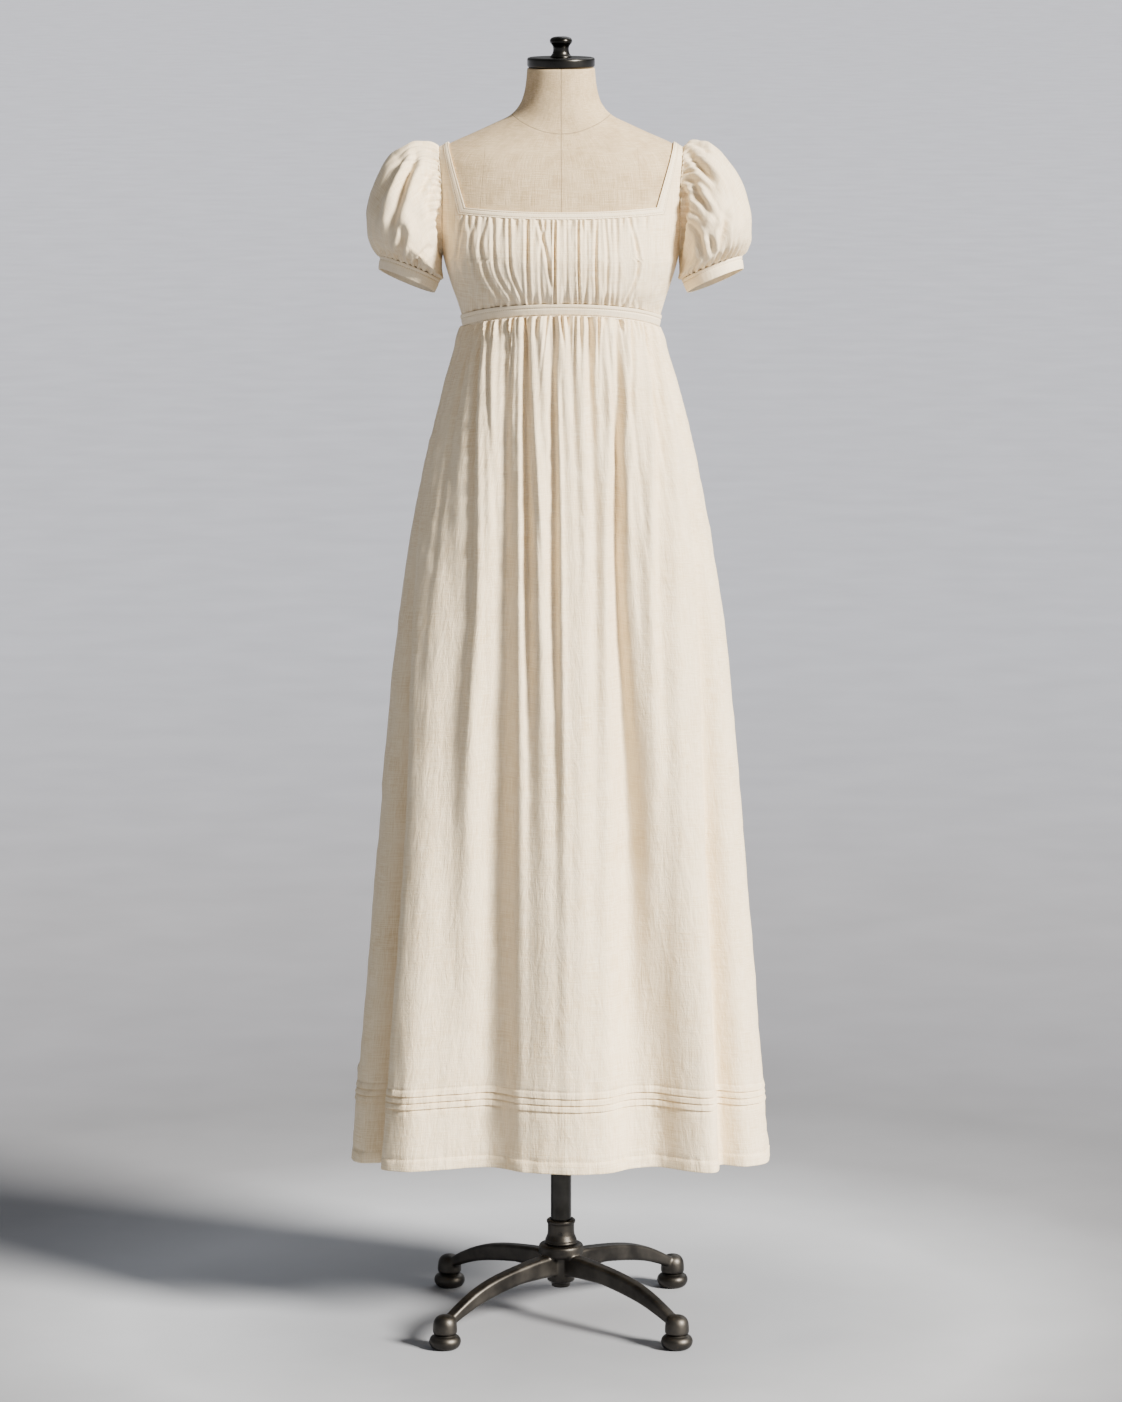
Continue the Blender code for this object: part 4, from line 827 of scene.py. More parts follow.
def leg_faces(bearing, first):
    """One leg of the stand as a loft of chamfered upright sections."""
    out = Vector((math.cos(bearing), math.sin(bearing), 0))
    across = Vector((-out.y, out.x, 0))
    c = LEG_CHAMFER
    points, faces = [], []
    for k in range(LEG_STEPS + 1):
        reach = mix(LEG[0].reach, LEG[-1].reach, k / LEG_STEPS)
        top, under, width = leg_curves(reach)
        w = width / 2
        for s, z in ((-w, under + c), (-w, top - c), (-w + c, top), (w - c, top),
                     (w, top - c), (w, under + c), (w - c, under), (-w + c, under)):
            points.append(tuple(out * reach + across * s + Vector((0, 0, z))))
    for k in range(LEG_STEPS):
        for m in range(8):
            a, b = first + 8 * k + m, first + 8 * k + (m + 1) % 8
            faces.append([a, b, b + 8, a + 8])
    faces.append([first + m for m in range(8)][::-1])
    faces.append([first + 8 * LEG_STEPS + m for m in range(8)])
    return points, faces


def fuse(piece, grain, passes):
    """Fuses the crossing solids of a piece into one skin with soft inner corners."""
    remesh = piece.modifiers.new("fuse", "REMESH")
    remesh.mode = "VOXEL"
    remesh.voxel_size = grain
    soften = piece.modifiers.new("soften", "SMOOTH")
    soften.factor = 0.5
    soften.iterations = passes
    bpy.context.view_layer.update()
    shown = piece.evaluated_get(bpy.context.evaluated_depsgraph_get())
    fused = bpy.data.meshes.new_from_object(shown)
    piece.modifiers.clear()
    piece.data = fused
    fused.shade_smooth()


def make_base(iron):
    points, faces = turned_faces(rounded(HUB, 0.0008), (0.0, 0.0), 96)
    for k in range(4):
        bearing = math.radians(45 + 90 * k)
        leg_points, leg = leg_faces(bearing, len(points))
        points += leg_points
        faces += leg
        centre = (FOOT_REACH * math.cos(bearing), FOOT_REACH * math.sin(bearing))
        ankle_points, ankle = turned_faces(rounded(ANKLE, 0.004), centre, 48)
        faces += [[len(points) + i for i in face] for face in ankle]
        points += ankle_points
    base = finish_mesh("iron_base", points, faces, iron)
    fuse(base, CASTING_GRAIN, 5)
    return place(base, "bronzed_iron", "base_casting")


def make_stand(iron, steel):
    make_base(iron)
    for end, y in (("front", -1), ("back", 1)):
        for side, x in (("left", -1), ("right", 1)):
            centre = (x * FOOT_SPREAD, y * FOOT_SPREAD)
            foot = turned(f"bun_foot_{end}_{side}", FOOT, iron, 0.004, centre, 64)
            place(foot, "bronzed_iron", f"foot_{end}_{side}")
    place(turned("socket_collar", SOCKET, iron, 0.0012, closed=True), "bronzed_iron", "pole_socket")
    radius = POLE_HIGH.x
    pole = [(0.0, POLE_HIGH.z), (radius, POLE_HIGH.z), (radius, POLE_LOW.z), (0.0, POLE_LOW.z)]
    place(turned("steel_pole", pole, steel, 0.0004, segments=72), "gunmetal", "pole")
    place(turned("neck_disc", CAP, steel, 0.0010, segments=120), "gunmetal", "neck_cap")
    place(turned("finial", KNOB, steel, 0.003), "gunmetal", "neck_knob")
    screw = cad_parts["set_screw"]
    screw.data.materials.clear()
    screw.data.materials.append(steel)


# ------------------------------------------------------------------ the worn upper part
def form_depth(x, z, side):
    half, front, back, n = form_curves(z)
    depth = np.where(np.asarray(side) < 0, front, back)
    return side * depth * np.maximum(0.0, 1 - np.minimum(1, np.abs(x) / half) ** n) ** (1 / n)


def form_level(p):
    half, front, back, n = form_curves(p[..., 2])
    depth = np.where(p[..., 1] < 0, front, back)
    return (np.abs(p[..., 0]) / half) ** n + (np.abs(p[..., 1]) / depth) ** n


def form_normal(p):
    step = 1e-5
    grad = np.stack([form_level(p + shift) - form_level(p - shift) for shift in np.eye(3) * step],
                    axis=-1)
    return grad / np.linalg.norm(grad, axis=-1, keepdims=True)


def armhole_x(z):
    above = (z - ARMHOLE_LEANS_FROM) / (SHOULDER_Z - ARMHOLE_LEANS_FROM)
    return ARMHOLE_X + ARMHOLE_LEAN * np.maximum(0.0, above) ** 2


def crossing(is_low, low, high):
    """Where a test that holds at the low end stops holding."""
    for _ in range(40):
        middle = (low + high) / 2
        low, high = (middle, high) if is_low(middle) else (low, middle)
    return low


def ridge_height(line):
    """Height where the shoulder passes over a line x = line(z)."""
    return crossing(lambda z: form_curves(z)[0] > line(z), 1.560, 1.640)


ARMHOLE_FOOT = crossing(lambda z: form_curves(z)[0] < armhole_x(z), 1.430, 1.500)


def band_top(turn):
    return BAND_SIDE_TOP + BAND_RISE * np.maximum(0.0, np.cos(turn * math.pi / 2)) ** 1.3


def neckline_front(x):
    return NECK_CORNER[1] - NECK_DROP * (1 - (x / NECK_CORNER[0]) ** 2)


def neckline_back(x):
    return np.full_like(x, BACK_CORNER[1])


def strap_line(corner, at_shoulder):
    return lambda z: mix(corner[0], at_shoulder, (z - corner[1]) / (SHOULDER_Z - corner[1]))


def strap_points(line, start_z, side, steps):
    """Points on the form along a strap's line, from its corner up to the shoulder."""
    z = mix(start_z, ridge_height(line), np.sin(np.linspace(0, math.pi / 2, steps + 1)))
    x = np.minimum(line(z), form_curves(z)[0])
    y = form_depth(x, z, side)
    y[-1] = 0.0
    return np.stack([x, y, z], axis=-1)


def bodice_grid(neck_columns, corner, neckline, edge_top):
    """Turns, heights and shares of the panel's grid below its straps, on +X."""
    wide = (corner[0] + BINDING_WIDTH + SEAM, corner[1] - BINDING_WIDTH - SEAM)
    half, _, _, n = form_curves(wide[1])
    widest = math.asin((armhole_x(wide[1]) / half) ** (n / 2))
    neck_x = np.linspace(0, wide[0], neck_columns + 1)
    strap_x = np.linspace(wide[0], armhole_x(wide[1]), STRAP_COLUMNS + 1)[1:]
    turns = np.arcsin((np.concatenate([neck_x, strap_x]) / half) ** (n / 2)) / widest
    high = np.full(len(turns), wide[1])
    below = neckline(neck_x * corner[0] / wide[0]) - BINDING_WIDTH - SEAM
    high[:neck_columns] = below[:neck_columns]
    low = edge_top(turns) + SEAM
    return wide, turns, low, high, closer_at_ends(BODICE_ROWS, 0.55)


def on_form(turns, z, side):
    """Points on the form at shares of the way from its centre to its side."""
    half, _, _, n = form_curves(z)
    reach = np.minimum(half, armhole_x(z))
    widest = np.arcsin(np.minimum(1.0, (reach / half) ** (n / 2)))
    x = half * np.abs(np.sin(np.abs(turns) * widest)) ** (2 / n)
    y = form_depth(x, z, side)
    at_seam = (np.abs(turns) > 0.9999) & (reach == half)
    y = np.where(at_seam, side * SEAM / 2, y)
    points = np.stack([x * np.where(turns < 0, -1.0, 1.0), y, z + 0 * x], axis=-1)
    return points, form_normal(points)


def bodice_folds(x, share):
    """Depth of the listed folds of the gathered front; share is 1 at the neck."""
    total = np.zeros(x.shape)
    for fold in BODICE_FOLDS:
        path = Curves([(0, fold.bottom, fold.at_bottom), (0.5, fold.middle, fold.at_middle),
                       (1, fold.top, fold.at_top)])
        at, deep = path(share)
        width = BODICE_NARROWING * fold.width / 1000
        total += BODICE_DEPTH * deep / 1000 * crease(x - at / 1000, width)
    return total


def front_fullness(across, x, z, low, high, share, under_neck):
    """How far the gathered front stands out beyond cloth that is plainly worn."""
    rng = np.random.default_rng(1805)
    middle = 1 - ease((np.abs(across) - 0.55) / 0.35)
    loose = 1 - ease((np.abs(across) - 0.90) / 0.09)
    puff = BUST_EASE * np.sin(math.pi * share[:, None]) ** 0.8 * middle
    pleats = gathers(x, high - z, rng, NECK_GATHERS)
    pleats += gathers(x, z - low, rng, BUST_GATHERS)
    soft = 0.0004 * rumple(x + 0.3, z, 0.014, 3) * (np.abs(x) < under_neck)
    return puff + (bodice_folds(x, share[:, None] + 0 * x) + pleats) * loose + soft


def bodice_panel(name, side, corner, neckline, edge_top, neck_columns, cloth, gathered, mirror=1):
    wide, turns, low, high, share = bodice_grid(neck_columns, corner, neckline, edge_top)
    edge = strap_line(wide, STRAP_TOP + BINDING_AT_SHOULDER + SEAM)
    strap_shares = np.linspace(0, 1, STRAP_COLUMNS + 1)
    straps = np.array([strap_points(lambda z, s=s: mix(edge(z), armhole_x(z), s), wide[1], side,
                                    STRAP_ROWS) for s in strap_shares])
    if gathered:
        turns = np.concatenate([-turns[:0:-1], turns])
        low = np.concatenate([low[:0:-1], low])
        high = np.concatenate([high[:0:-1], high])
    z = mix(low[None, :], high[None, :], share[:, None])
    across = np.broadcast_to(turns, z.shape)
    points, normals = on_form(across, z, side)
    stand = np.full(z.shape, WEAR + OUTSIDE)
    x = points[..., 0]
    if gathered:
        stand += front_fullness(across, x, z, low, high, share, wide[0] - 0.004)
    stand += 0.0004 * rumple(x + 0.7, z, 0.030, 4)
    points = points + normals * np.maximum(stand, NEAREST)[..., None]
    if not gathered:
        points[:, 0, 0] = SEAM / 2
    index = grid_index(z.shape)
    pieces, quads, count = [points.reshape(-1, 3)], [grid_quads(index)], index.size
    for sign in ((1, -1) if gathered else (1,)):
        raised = straps[:, 1:]
        raised = raised + form_normal(raised) * (WEAR + OUTSIDE)
        raised[:, -1, 1] = side * SEAM / 2
        raised = raised.transpose(1, 0, 2)
        if sign > 0:
            base = index[-1, -STRAP_COLUMNS - 1:]
        else:
            raised = raised[:, ::-1] * np.array([-1, 1, 1])
            base = index[-1, :STRAP_COLUMNS + 1]
        own = grid_index(raised.shape, count)
        quads.append(grid_quads(np.vstack([base[None, :], own])))
        pieces.append(raised.reshape(-1, 3))
        count += own.size
    points = np.concatenate(pieces)
    uv = points[:, [0, 2]]
    points = points * np.array([mirror, 1, 1])
    return cloth_wall(name, points, np.concatenate(quads), uv, cloth, CLOTH_WALL)


def make_bodice(cloth):
    front = bodice_panel("gown_bodice_front", -1, NECK_CORNER, neckline_front, band_top,
                         BODICE_COLUMNS, cloth, True)
    place(front, "gown_cloth", "bodice_front")
    for side, mirror in (("left", -1), ("right", 1)):
        back = bodice_panel(f"gown_bodice_back_{side}", 1, BACK_CORNER, neckline_back,
                            lambda turn: np.full_like(turn, BAND_SIDE_TOP), BACK_COLUMNS, cloth, False,
                            mirror)
        place(back, "gown_cloth", f"bodice_back_{side}")


# ------------------------------------------------------------------ bands and stitching
def strip(name, inner, outer, normals, stand, steps, profile, material, closed=False):
    """A band between two edge lines on the form, with its pressed profile."""
    across = np.linspace(0, 1, steps + 1)
    base = mix(inner[:, None, :], outer[:, None, :], across[None, :, None])
    lift = stand + profile(across)
    points = base + normals[:, None, :] * lift[None, :, None]
    if not closed:
        points[0, :, 0] = np.sign(points[1, :, 0]) * SEAM / 2
        points[-1, :, 0] = np.sign(points[-2, :, 0]) * SEAM / 2
    index = grid_index(points.shape)
    if closed:
        index = np.concatenate([index, index[:1]])
    width = np.linalg.norm(outer - inner, axis=1).mean()
    uv = np.stack(np.meshgrid(run_along(inner), across * width, indexing="ij"), axis=-1).reshape(-1, 2)
    flat = points.reshape(-1, 3)
    return cloth_wall(name, flat, grid_quads(index), uv, material, BAND_WALL, 50.0)


def pressed(grooves, width):
    """Height across a band: pressed edges, and a shallow groove under each row of stitches."""
    def height(across):
        total = BAND_DOME * (1 - np.abs(2 * across - 1) ** 6)
        for at in grooves:
            total = total - GROOVE_DEPTH * np.exp(-((across - at) / width) ** 2)
        return total
    return height


def stitches(name, paths, thread, slot, length=0.0021, gap=0.0012, radius=0.00022):
    """Rows of running stitches, each a short spindle of thread half sunk in the cloth."""
    points, faces = [], []
    for line, normals in paths:
        run = run_along(line)
        for start in np.arange(gap, run[-1] - length, length + gap):
            spots = np.array([[np.interp(start + length * t, run, line[:, k]) for k in range(3)]
                              for t in (0.0, 0.25, 0.75, 1.0)])
            up = np.array([np.interp(start + length / 2, run, normals[:, k]) for k in range(3)])
            along = spots[3] - spots[0]
            side = np.cross(along, up)
            side = side / max(np.linalg.norm(side), 1e-9) * radius
            rise = up / np.linalg.norm(up) * radius
            first = len(points)
            points.append(spots[0] - rise)
            for spot in spots[1:3]:
                points += [spot + side, spot + rise, spot - side, spot - rise]
            points.append(spots[3] - rise)
            for k in range(4):
                a, b = first + 1 + k, first + 1 + (k + 1) % 4
                faces += [[first, b, a], [a, b, b + 4, a + 4], [first + 9, a + 4, b + 4]]
    piece = finish_mesh(name, points, faces, thread, 80.0)
    return place(piece, slot)


def sewn_band(part, edges, normals, stand, steps, rows, bands, thread, groove=0.06, closed=False):
    """A band and its rows of stitches, named for the piece of the part that it shows."""
    piece = strip(f"gown_{part}", *edges, normals, stand, steps, pressed(rows, groove), bands, closed)
    place(piece, "gown_bands", part)
    lines = [(mix(*edges, at) + normals * (stand + THREAD_HEIGHT), normals) for at in rows]
    return piece, stitches(f"{part}_stitches", lines, thread, "gown_bands")


def neck_edges(corner, neckline, side, across, up):
    """Inner and outer edge of the binding on +X, from the centre to the shoulder."""
    wide = (corner[0] + BINDING_WIDTH, corner[1] - BINDING_WIDTH)
    share = np.linspace(0, 1, across + 1)[:-1]
    edges = []
    for reach, drop, line in (
            (corner[0], 0.0, strap_line(corner, STRAP_TOP)),
            (wide[0], BINDING_WIDTH, strap_line(wide, STRAP_TOP + BINDING_AT_SHOULDER))):
        x = reach * share
        z = neckline(corner[0] * share) - drop
        level = np.stack([x, form_depth(x, z, side), z], axis=-1)
        start = corner[1] if drop == 0.0 else wide[1]
        edges.append(np.concatenate([level, strap_points(line, start, side, up)]))
    return edges


def make_binding(bands, thread):
    front = neck_edges(NECK_CORNER, neckline_front, -1, 110, 44)
    back = neck_edges(BACK_CORNER, neckline_back, 1, 60, 36)
    half = [np.concatenate([b[:-1], f[::-1]]) for f, b in zip(front, back)]
    flip = np.array([-1, 1, 1])
    inner, outer = (np.concatenate([edge, (edge * flip)[::-1][1:]]) for edge in half)
    normals = form_normal((inner + outer) / 2)
    piece, sewn = sewn_band("neck_binding", (inner, outer), normals, BINDING_STAND, BINDING_STEPS,
                            BINDING_STITCHES, bands, thread)


def make_waistband(bands, thread):
    bearings = even_bearings(form_curves, 1.38, -180, 180, 421)
    turn = np.abs(bearings) / 90
    top = np.where(turn < 1, band_top(turn), BAND_SIDE_TOP)
    edges, normals = [], []
    for z in (top, top - BAND_HEIGHT):
        x, y, _ = section(form_curves, z, bearings)
        edge = np.stack([x, y, z], axis=-1)
        edges.append(edge)
        normals.append(form_normal(edge))
    normal = normals[0] + normals[1]
    normal /= np.linalg.norm(normal, axis=-1, keepdims=True)
    piece, sewn = sewn_band("waistband", edges, normal, BAND_STAND, BAND_STEPS, BAND_STITCHES,
                            bands, thread, groove=0.045)


# -------------------------------------------------------------------------- the skirt
def skirt_rows():
    """Shares of the length down, and how far the tucks and the hem stand off there."""
    drops = np.concatenate([np.linspace(0, 0.022, 14), np.linspace(0.025, 0.095, 18),
                            np.linspace(0.101, 0.34, 28), np.linspace(0.354, TUCK_TOP - 0.012, 36)])
    rows = [(drop, 0.0) for drop in drops]
    rows += [(TUCK_TOP - 0.0040, 0.0), (TUCK_TOP - 0.0012, 0.0), (TUCK_TOP - 0.0003, -0.0005)]
    for k in range(TUCK_COUNT):
        top = TUCK_TOP + k * TUCK_HEIGHT
        rows.append((top + 0.0010, BELOW_TUCK if k else 0.0))
        for share, step in TUCK_PROFILE:
            rows.append((top + share * TUCK_HEIGHT, step * TUCK_STEP))
        rows.append((top + TUCK_HEIGHT - 0.0001, UNDER_TUCK))
    low = TUCK_TOP + TUCK_COUNT * TUCK_HEIGHT
    rows += [(low + 0.0012, BELOW_TUCK), (low + 0.0030, 0.0)]
    stitched = SKIRT_LENGTH - HEM_TURN
    rows += [(drop, 0.0) for drop in np.linspace(low + 0.010, stitched - 0.008, 5)]
    rows += [(stitched - 0.0025, 0.0), (stitched - 0.0008, -0.0006), (stitched + 0.0006, -0.0004),
             (stitched + 0.0020, 0.0007), (stitched + 0.006, 0.0007), (SKIRT_LENGTH - 0.005, 0.0006),
             (SKIRT_LENGTH - 0.0015, 0.0006), (SKIRT_LENGTH - 0.0003, 0.0003), (SKIRT_LENGTH, 0.0)]
    table = np.array(rows)
    return table[:, 0] / SKIRT_LENGTH, table[:, 1]


def large_folds(bearing, down):
    total = np.zeros(bearing.shape)
    for fold in FOLDS:
        at = fold.at_hem + (fold.at_waist - fold.at_hem) * (1 - down) ** fold.drift
        away = (bearing - at + 180) % 360 - 180
        grown = fold.height * (0.12 + 0.88 * ease(down / 0.9)) * ease(down / 0.05)
        total += LARGE_DEPTH * grown * np.exp(-(away / fold.half_width) ** 2)
    return total


def hang(x, down):
    """Where on the waistband the thread through a point comes from: it falls plumb in
    the middle and spreads with the skirt at the sides."""
    waist = skirt_curves(0.0)[0]
    half = skirt_curves(down)[0]
    return x / (1 + (half / waist - 1) * (np.abs(x) / half) ** 2), waist


def hanging_folds(folds, across, down):
    total = np.zeros(across.shape)
    for fold in folds:
        path = Curves([(0.0, fold.top, fold.at_top * 0.6), (0.05, fold.top, fold.at_top),
                       (0.25, fold.upper, fold.at_upper), (0.60, fold.lower, fold.at_lower * 1.5),
                       (0.88, fold.lower, fold.at_lower * 0.8), (1.0, fold.lower, fold.at_lower * 0.6)])
        at, deep = path(down)
        width = fold.width / 1000 * (1 + 1.5 * ease(down / 0.9))
        total += FOLD_DEPTH * deep / 1000 * crease(across - at / 1000, width, fold.steep)
    return total


def sewn_puckers(u, away, seed):
    """The small puckers that sewing leaves about the tucks and the hem."""
    tucks = np.exp(-((away - (SKIRT_LENGTH - TUCK_ABOVE_HEM - 0.013)) / 0.022) ** 2)
    hem = np.exp(-((away - (SKIRT_LENGTH - HEM_TURN)) / 0.014) ** 2)
    return 0.0008 * rumple(u, away * 0.2, 0.007, seed) * (tucks + hem)


def skirt_panel(name, start, folds, short, seed, cloth):
    downs, offs = skirt_rows()
    bearings = even_bearings(skirt_curves, 0.35, start, start + 180, SKIRT_COLUMNS + 1)
    bearing, down = np.meshgrid((bearings + 180) % 360 - 180, downs)
    x, y, out = section(skirt_curves, down, bearing)
    turn = np.abs(bearing) / 90
    top = np.where(turn < 1, band_top(turn), BAND_SIDE_TOP) - BAND_HEIGHT - SEAM
    hem = HEM_SIDE + HEM_RISE * np.maximum(0.0, np.cos(np.radians(bearing))) ** 2
    z = mix(top, hem, down)
    across, waist = hang(x, down)
    around = waist * np.arcsin(np.clip(across / waist, -1, 1))
    away = down * SKIRT_LENGTH
    rng = np.random.default_rng(seed)
    small = gathers(around, away, rng, short)
    small += gathers(around, away, rng, LONG_GATHERS)
    u = np.broadcast_to(np.linspace(0, 0.80, SKIRT_COLUMNS + 1), x.shape) + start
    soft = 0.0009 * rumple(u, away, 0.055, seed) + 0.0008 * rumple(u, away * 1.5, 0.021, seed + 1)
    soft += 0.00040 * rumple(u, away * 1.7, 0.009, seed + 2)
    soft *= ease(down / 0.15)
    bulge = 0.0016 * np.exp(-((away - 0.014) / 0.011) ** 2)   # of the gathers under the band
    lift = OUTSIDE + offs[:, None] + large_folds(bearing, down) + hanging_folds(folds, across, down)
    lift += small + soft + sewn_puckers(u, away, seed + 3) + bulge
    points = np.stack([x, y, z], axis=-1) + out * lift[..., None]
    points[:, [0, -1], 1] = -SEAM / 2 if start < 0 else SEAM / 2
    uv = np.stack([u, away], axis=-1).reshape(-1, 2)
    quads = grid_quads(grid_index(x.shape))
    piece = cloth_wall(name, points.reshape(-1, 3), quads, uv, cloth, CLOTH_WALL)
    return piece, points, out, downs


def make_skirt(cloth, thread):
    for side, start, folds, short, seed in (("front", -90.0, FRONT_FOLDS, FRONT_GATHERS, 11),
                                            ("back", 90.0, BACK_FOLDS, BACK_GATHERS, 23)):
        piece, points, out, downs = skirt_panel(f"gown_skirt_{side}", start, folds, short, seed, cloth)
        place(piece, "gown_cloth", f"skirt_{side}")
        row = int(np.argmin(np.abs(downs - (1 - (HEM_TURN + 0.0004) / SKIRT_LENGTH))))
        line = points[row] + out[row] * 0.0001
        sewn = stitches(f"hem_{side}_stitches", [(line, out[row])], thread, "gown_cloth",
                        HEM_STITCH, HEM_STITCH_GAP)


# -------------------------------------------------------------------- sleeves and cuffs
def armhole_ring(angle):
    top = ridge_height(armhole_x)
    z = mix((top + ARMHOLE_FOOT) / 2, top, np.cos(angle))
    x = np.minimum(armhole_x(z), form_curves(z)[0] * 0.9999)
    side = np.where(np.sin(angle) >= 0, -1.0, 1.0)
    y = np.where(np.abs(np.sin(angle)) > 1e-6, form_depth(x, z, side), 0.0)
    p = np.stack([x, y, z], axis=-1)
    return p + form_normal(p) * WEAR + np.array([ARMHOLE_GAP, 0, 0])


def sleeve_surface(along, angle, slack):
    out_x, out_z, in_x, in_z, depth = sleeve_curves(along)
    out_x = out_x - slack * np.sin(math.pi * along)
    middle_x, middle_z = (out_x + in_x) / 2, (out_z + in_z) / 2
    p = np.stack([middle_x + (out_x - middle_x) * np.cos(angle), -depth * np.sin(angle),
                  middle_z + (out_z - middle_z) * np.cos(angle)], axis=-1)
    p[..., 2] -= CUFF_TILT * p[..., 1] * ease((along - 0.45) / 0.55)
    join = ease(along / 0.12)[..., None]
    return mix(armhole_ring(angle), p, join)


def sleeve_folds(folds, x, z):
    total = np.zeros(x.shape)
    for fold in folds:
        away, share = near_path(x, z, fold.path)
        ends = np.sin(math.pi * share) ** 0.8
        width = SLEEVE_NARROWING * fold.width / 1000
        total += SLEEVE_DEPTH * fold.depth / 1000 * crease(away, width) * ends
    return total


def make_sleeve(side, cloth, bands, thread):
    name = "left" if side < 0 else "right"
    folds = LEFT_SLEEVE_FOLDS if side < 0 else RIGHT_SLEEVE_FOLDS
    slack = 0.0 if side < 0 else RIGHT_SLACK
    angles = np.linspace(0, 2 * math.pi, SLEEVE_COLUMNS, endpoint=False)
    angle, along = np.meshgrid(angles, closer_at_ends(SLEEVE_ROWS, 0.45))
    base = sleeve_surface(along, angle, slack)
    index = grid_index(base.shape)
    quads = grid_quads(np.concatenate([index, index[:, :1]], axis=1))
    flat = base.reshape(-1, 3)
    normals = vertex_normals(flat, quads)
    if face_inward(flat, normals):
        normals = -normals
    normals = normals.reshape(base.shape)
    turn = (angle + math.pi) % (2 * math.pi) - math.pi
    rng = np.random.default_rng(31 if side < 0 else 47)
    upper = 1 - ease((np.abs(turn) - 1.9) / 0.5)
    front_cuff = 1 - ease((np.abs(turn) - 2.3) / 0.5)
    small = gathers(turn * ARMHOLE_RADIUS, along * SLEEVE_DROP, rng, ARMHOLE_GATHERS) * upper
    small += gathers(turn * CUFF_RADIUS, (1 - along) * SLEEVE_DROP, rng, CUFF_GATHERS) * front_cuff
    shown = ease(np.sin(angle) / 0.5 + 0.5)
    x, z = base[..., 0], base[..., 2]
    large = sleeve_folds(folds, x, z) * shown
    large += sleeve_folds(folds, x + 0.006, z - 0.012) * (1 - shown)
    held = ease(along / 0.06) * ease((1 - along) / 0.05)
    u, v = angle * 0.07 + 1, along * SLEEVE_DROP
    soft = 0.0010 * rumple(u, v, 0.022, 5 - side) + 0.0005 * rumple(u, v, 0.009, 7 - side)
    lift = OUTSIDE + small * (0.35 + 0.65 * held) + (large + soft) * held
    points = base + normals * lift[..., None]
    points[0] = base[0] + normals[0] * OUTSIDE
    uv = np.stack([angle * 0.075, along * 0.19], axis=-1).reshape(-1, 2)
    points = points.reshape(-1, 3) * np.array([side, 1, 1])
    piece = cloth_wall(f"gown_sleeve_{name}", points, quads, uv, cloth, CLOTH_WALL)
    place(piece, "gown_cloth", f"sleeve_{name}")
    make_cuff(side, name, bands, thread)


def make_cuff(side, name, bands, thread):
    angles = np.linspace(0, 2 * math.pi, CUFF_COLUMNS, endpoint=False)
    edges = []
    for outer, inner in (CUFF_TOP, CUFF_BOTTOM):
        centre = (np.array(outer) + np.array(inner)) / 2
        arm = np.array(outer) - centre
        grow = 1 + BAND_OUTSIDE / np.linalg.norm(arm)
        y = -(CUFF_DEPTH + BAND_OUTSIDE) * np.sin(angles)
        edges.append(np.stack([centre[0] + arm[0] * grow * np.cos(angles), y,
                               centre[1] + arm[1] * grow * np.cos(angles) - CUFF_TILT * y], axis=-1))
    middle = (edges[0] + edges[1]) / 2
    normals = middle - middle.mean(0)
    normals /= np.linalg.norm(normals, axis=1, keepdims=True)
    flip = np.array([side, 1, 1])
    edges, normals = [edge * flip for edge in edges], normals * flip
    piece, sewn = sewn_band(f"cuff_{name}", edges, normals, 0.0, BINDING_STEPS, CUFF_STITCHES,
                            bands, thread, closed=True)


# ------------------------------------------------------------------- stage and lighting
CAMERA_PLACE = (0.0, -7.50, 2.12)
CAMERA_TILT = 9.58                   # degrees below level
CAMERA_LENS = 145.34
SENSOR = 36.0
FLOOR_REACH = 400.0                  # so far that its end doesn't show
FLOOR_DROP = 0.0004                  # so that the feet don't share its face

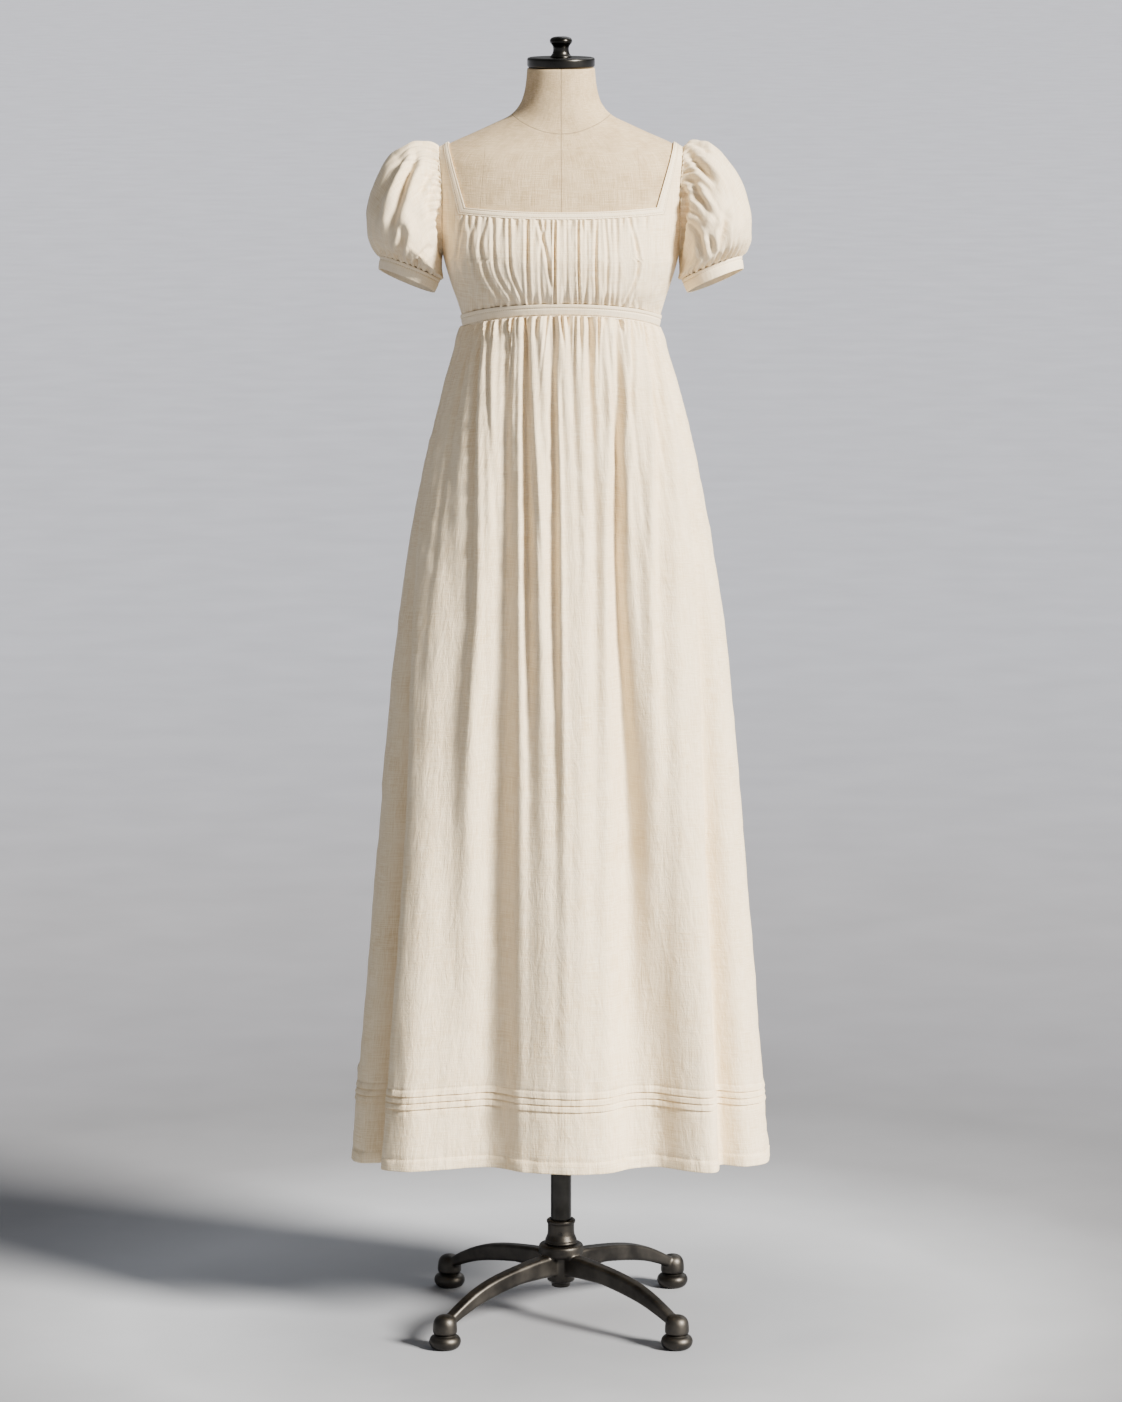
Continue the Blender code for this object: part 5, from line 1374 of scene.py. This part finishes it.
BACKDROP = ("#C6C7CA", 0.42)         # colour and strength of the even light all around
Lamp = namedtuple("Lamp", "name direction strength spread colour")
LAMPS = [
    Lamp("key_softbox", (1.9, -1.30, 1.35), 15.2, 15, "#FFF8EC"),
    Lamp("back_light", (0.9, 1.6, 1.6), 0.8, 45, "#FFFFFF"),
]


def make_camera():
    data = bpy.data.cameras.new("camera")
    data.lens = CAMERA_LENS
    data.sensor_width = SENSOR
    camera = bpy.data.objects.new("camera", data)
    camera.location = CAMERA_PLACE
    camera.rotation_euler = (math.radians(90 - CAMERA_TILT), 0, 0)
    bpy.context.scene.collection.objects.link(camera)
    bpy.context.scene.camera = camera


def make_light(lamp):
    """A soft light as far off as a sun, so that the floor is lit evenly."""
    data = bpy.data.lights.new(lamp.name, "SUN")
    data.energy = lamp.strength
    data.angle = math.radians(lamp.spread)
    data.color = hex_colour(lamp.colour)[:3]
    light = bpy.data.objects.new(lamp.name, data)
    light.rotation_euler = Vector(lamp.direction).to_track_quat("Z", "Y").to_euler()
    bpy.context.scene.collection.objects.link(light)


def make_stage():
    corners = [(-1, -1), (1, -1), (1, 1), (-1, 1)]
    points = [(FLOOR_REACH * x, FLOOR_REACH * y, -FLOOR_DROP) for x, y in corners]
    floor = finish_mesh("floor", points, [[0, 1, 2, 3]], paper_floor())
    world = bpy.data.worlds.new("studio")
    bpy.context.scene.world = world
    world.use_nodes = True
    backdrop = world.node_tree.nodes["Background"]
    colour, strength = BACKDROP
    backdrop.inputs["Color"].default_value = hex_colour(colour)
    backdrop.inputs["Strength"].default_value = strength
    for lamp in LAMPS:
        make_light(lamp)


# --------------------------------------------------------------------------- the whole
cloth, bands, thread = gown_cloth(), gown_bands(), sewing_thread()
iron, steel = bronzed_iron(), gunmetal()
make_form(form_linen())
make_stand(iron, steel)
make_binding(bands, thread)
make_bodice(cloth)
make_waistband(bands, thread)
for arm_side in (-1, 1):
    make_sleeve(arm_side, cloth, bands, thread)
make_skirt(cloth, thread)
make_camera()
make_stage()
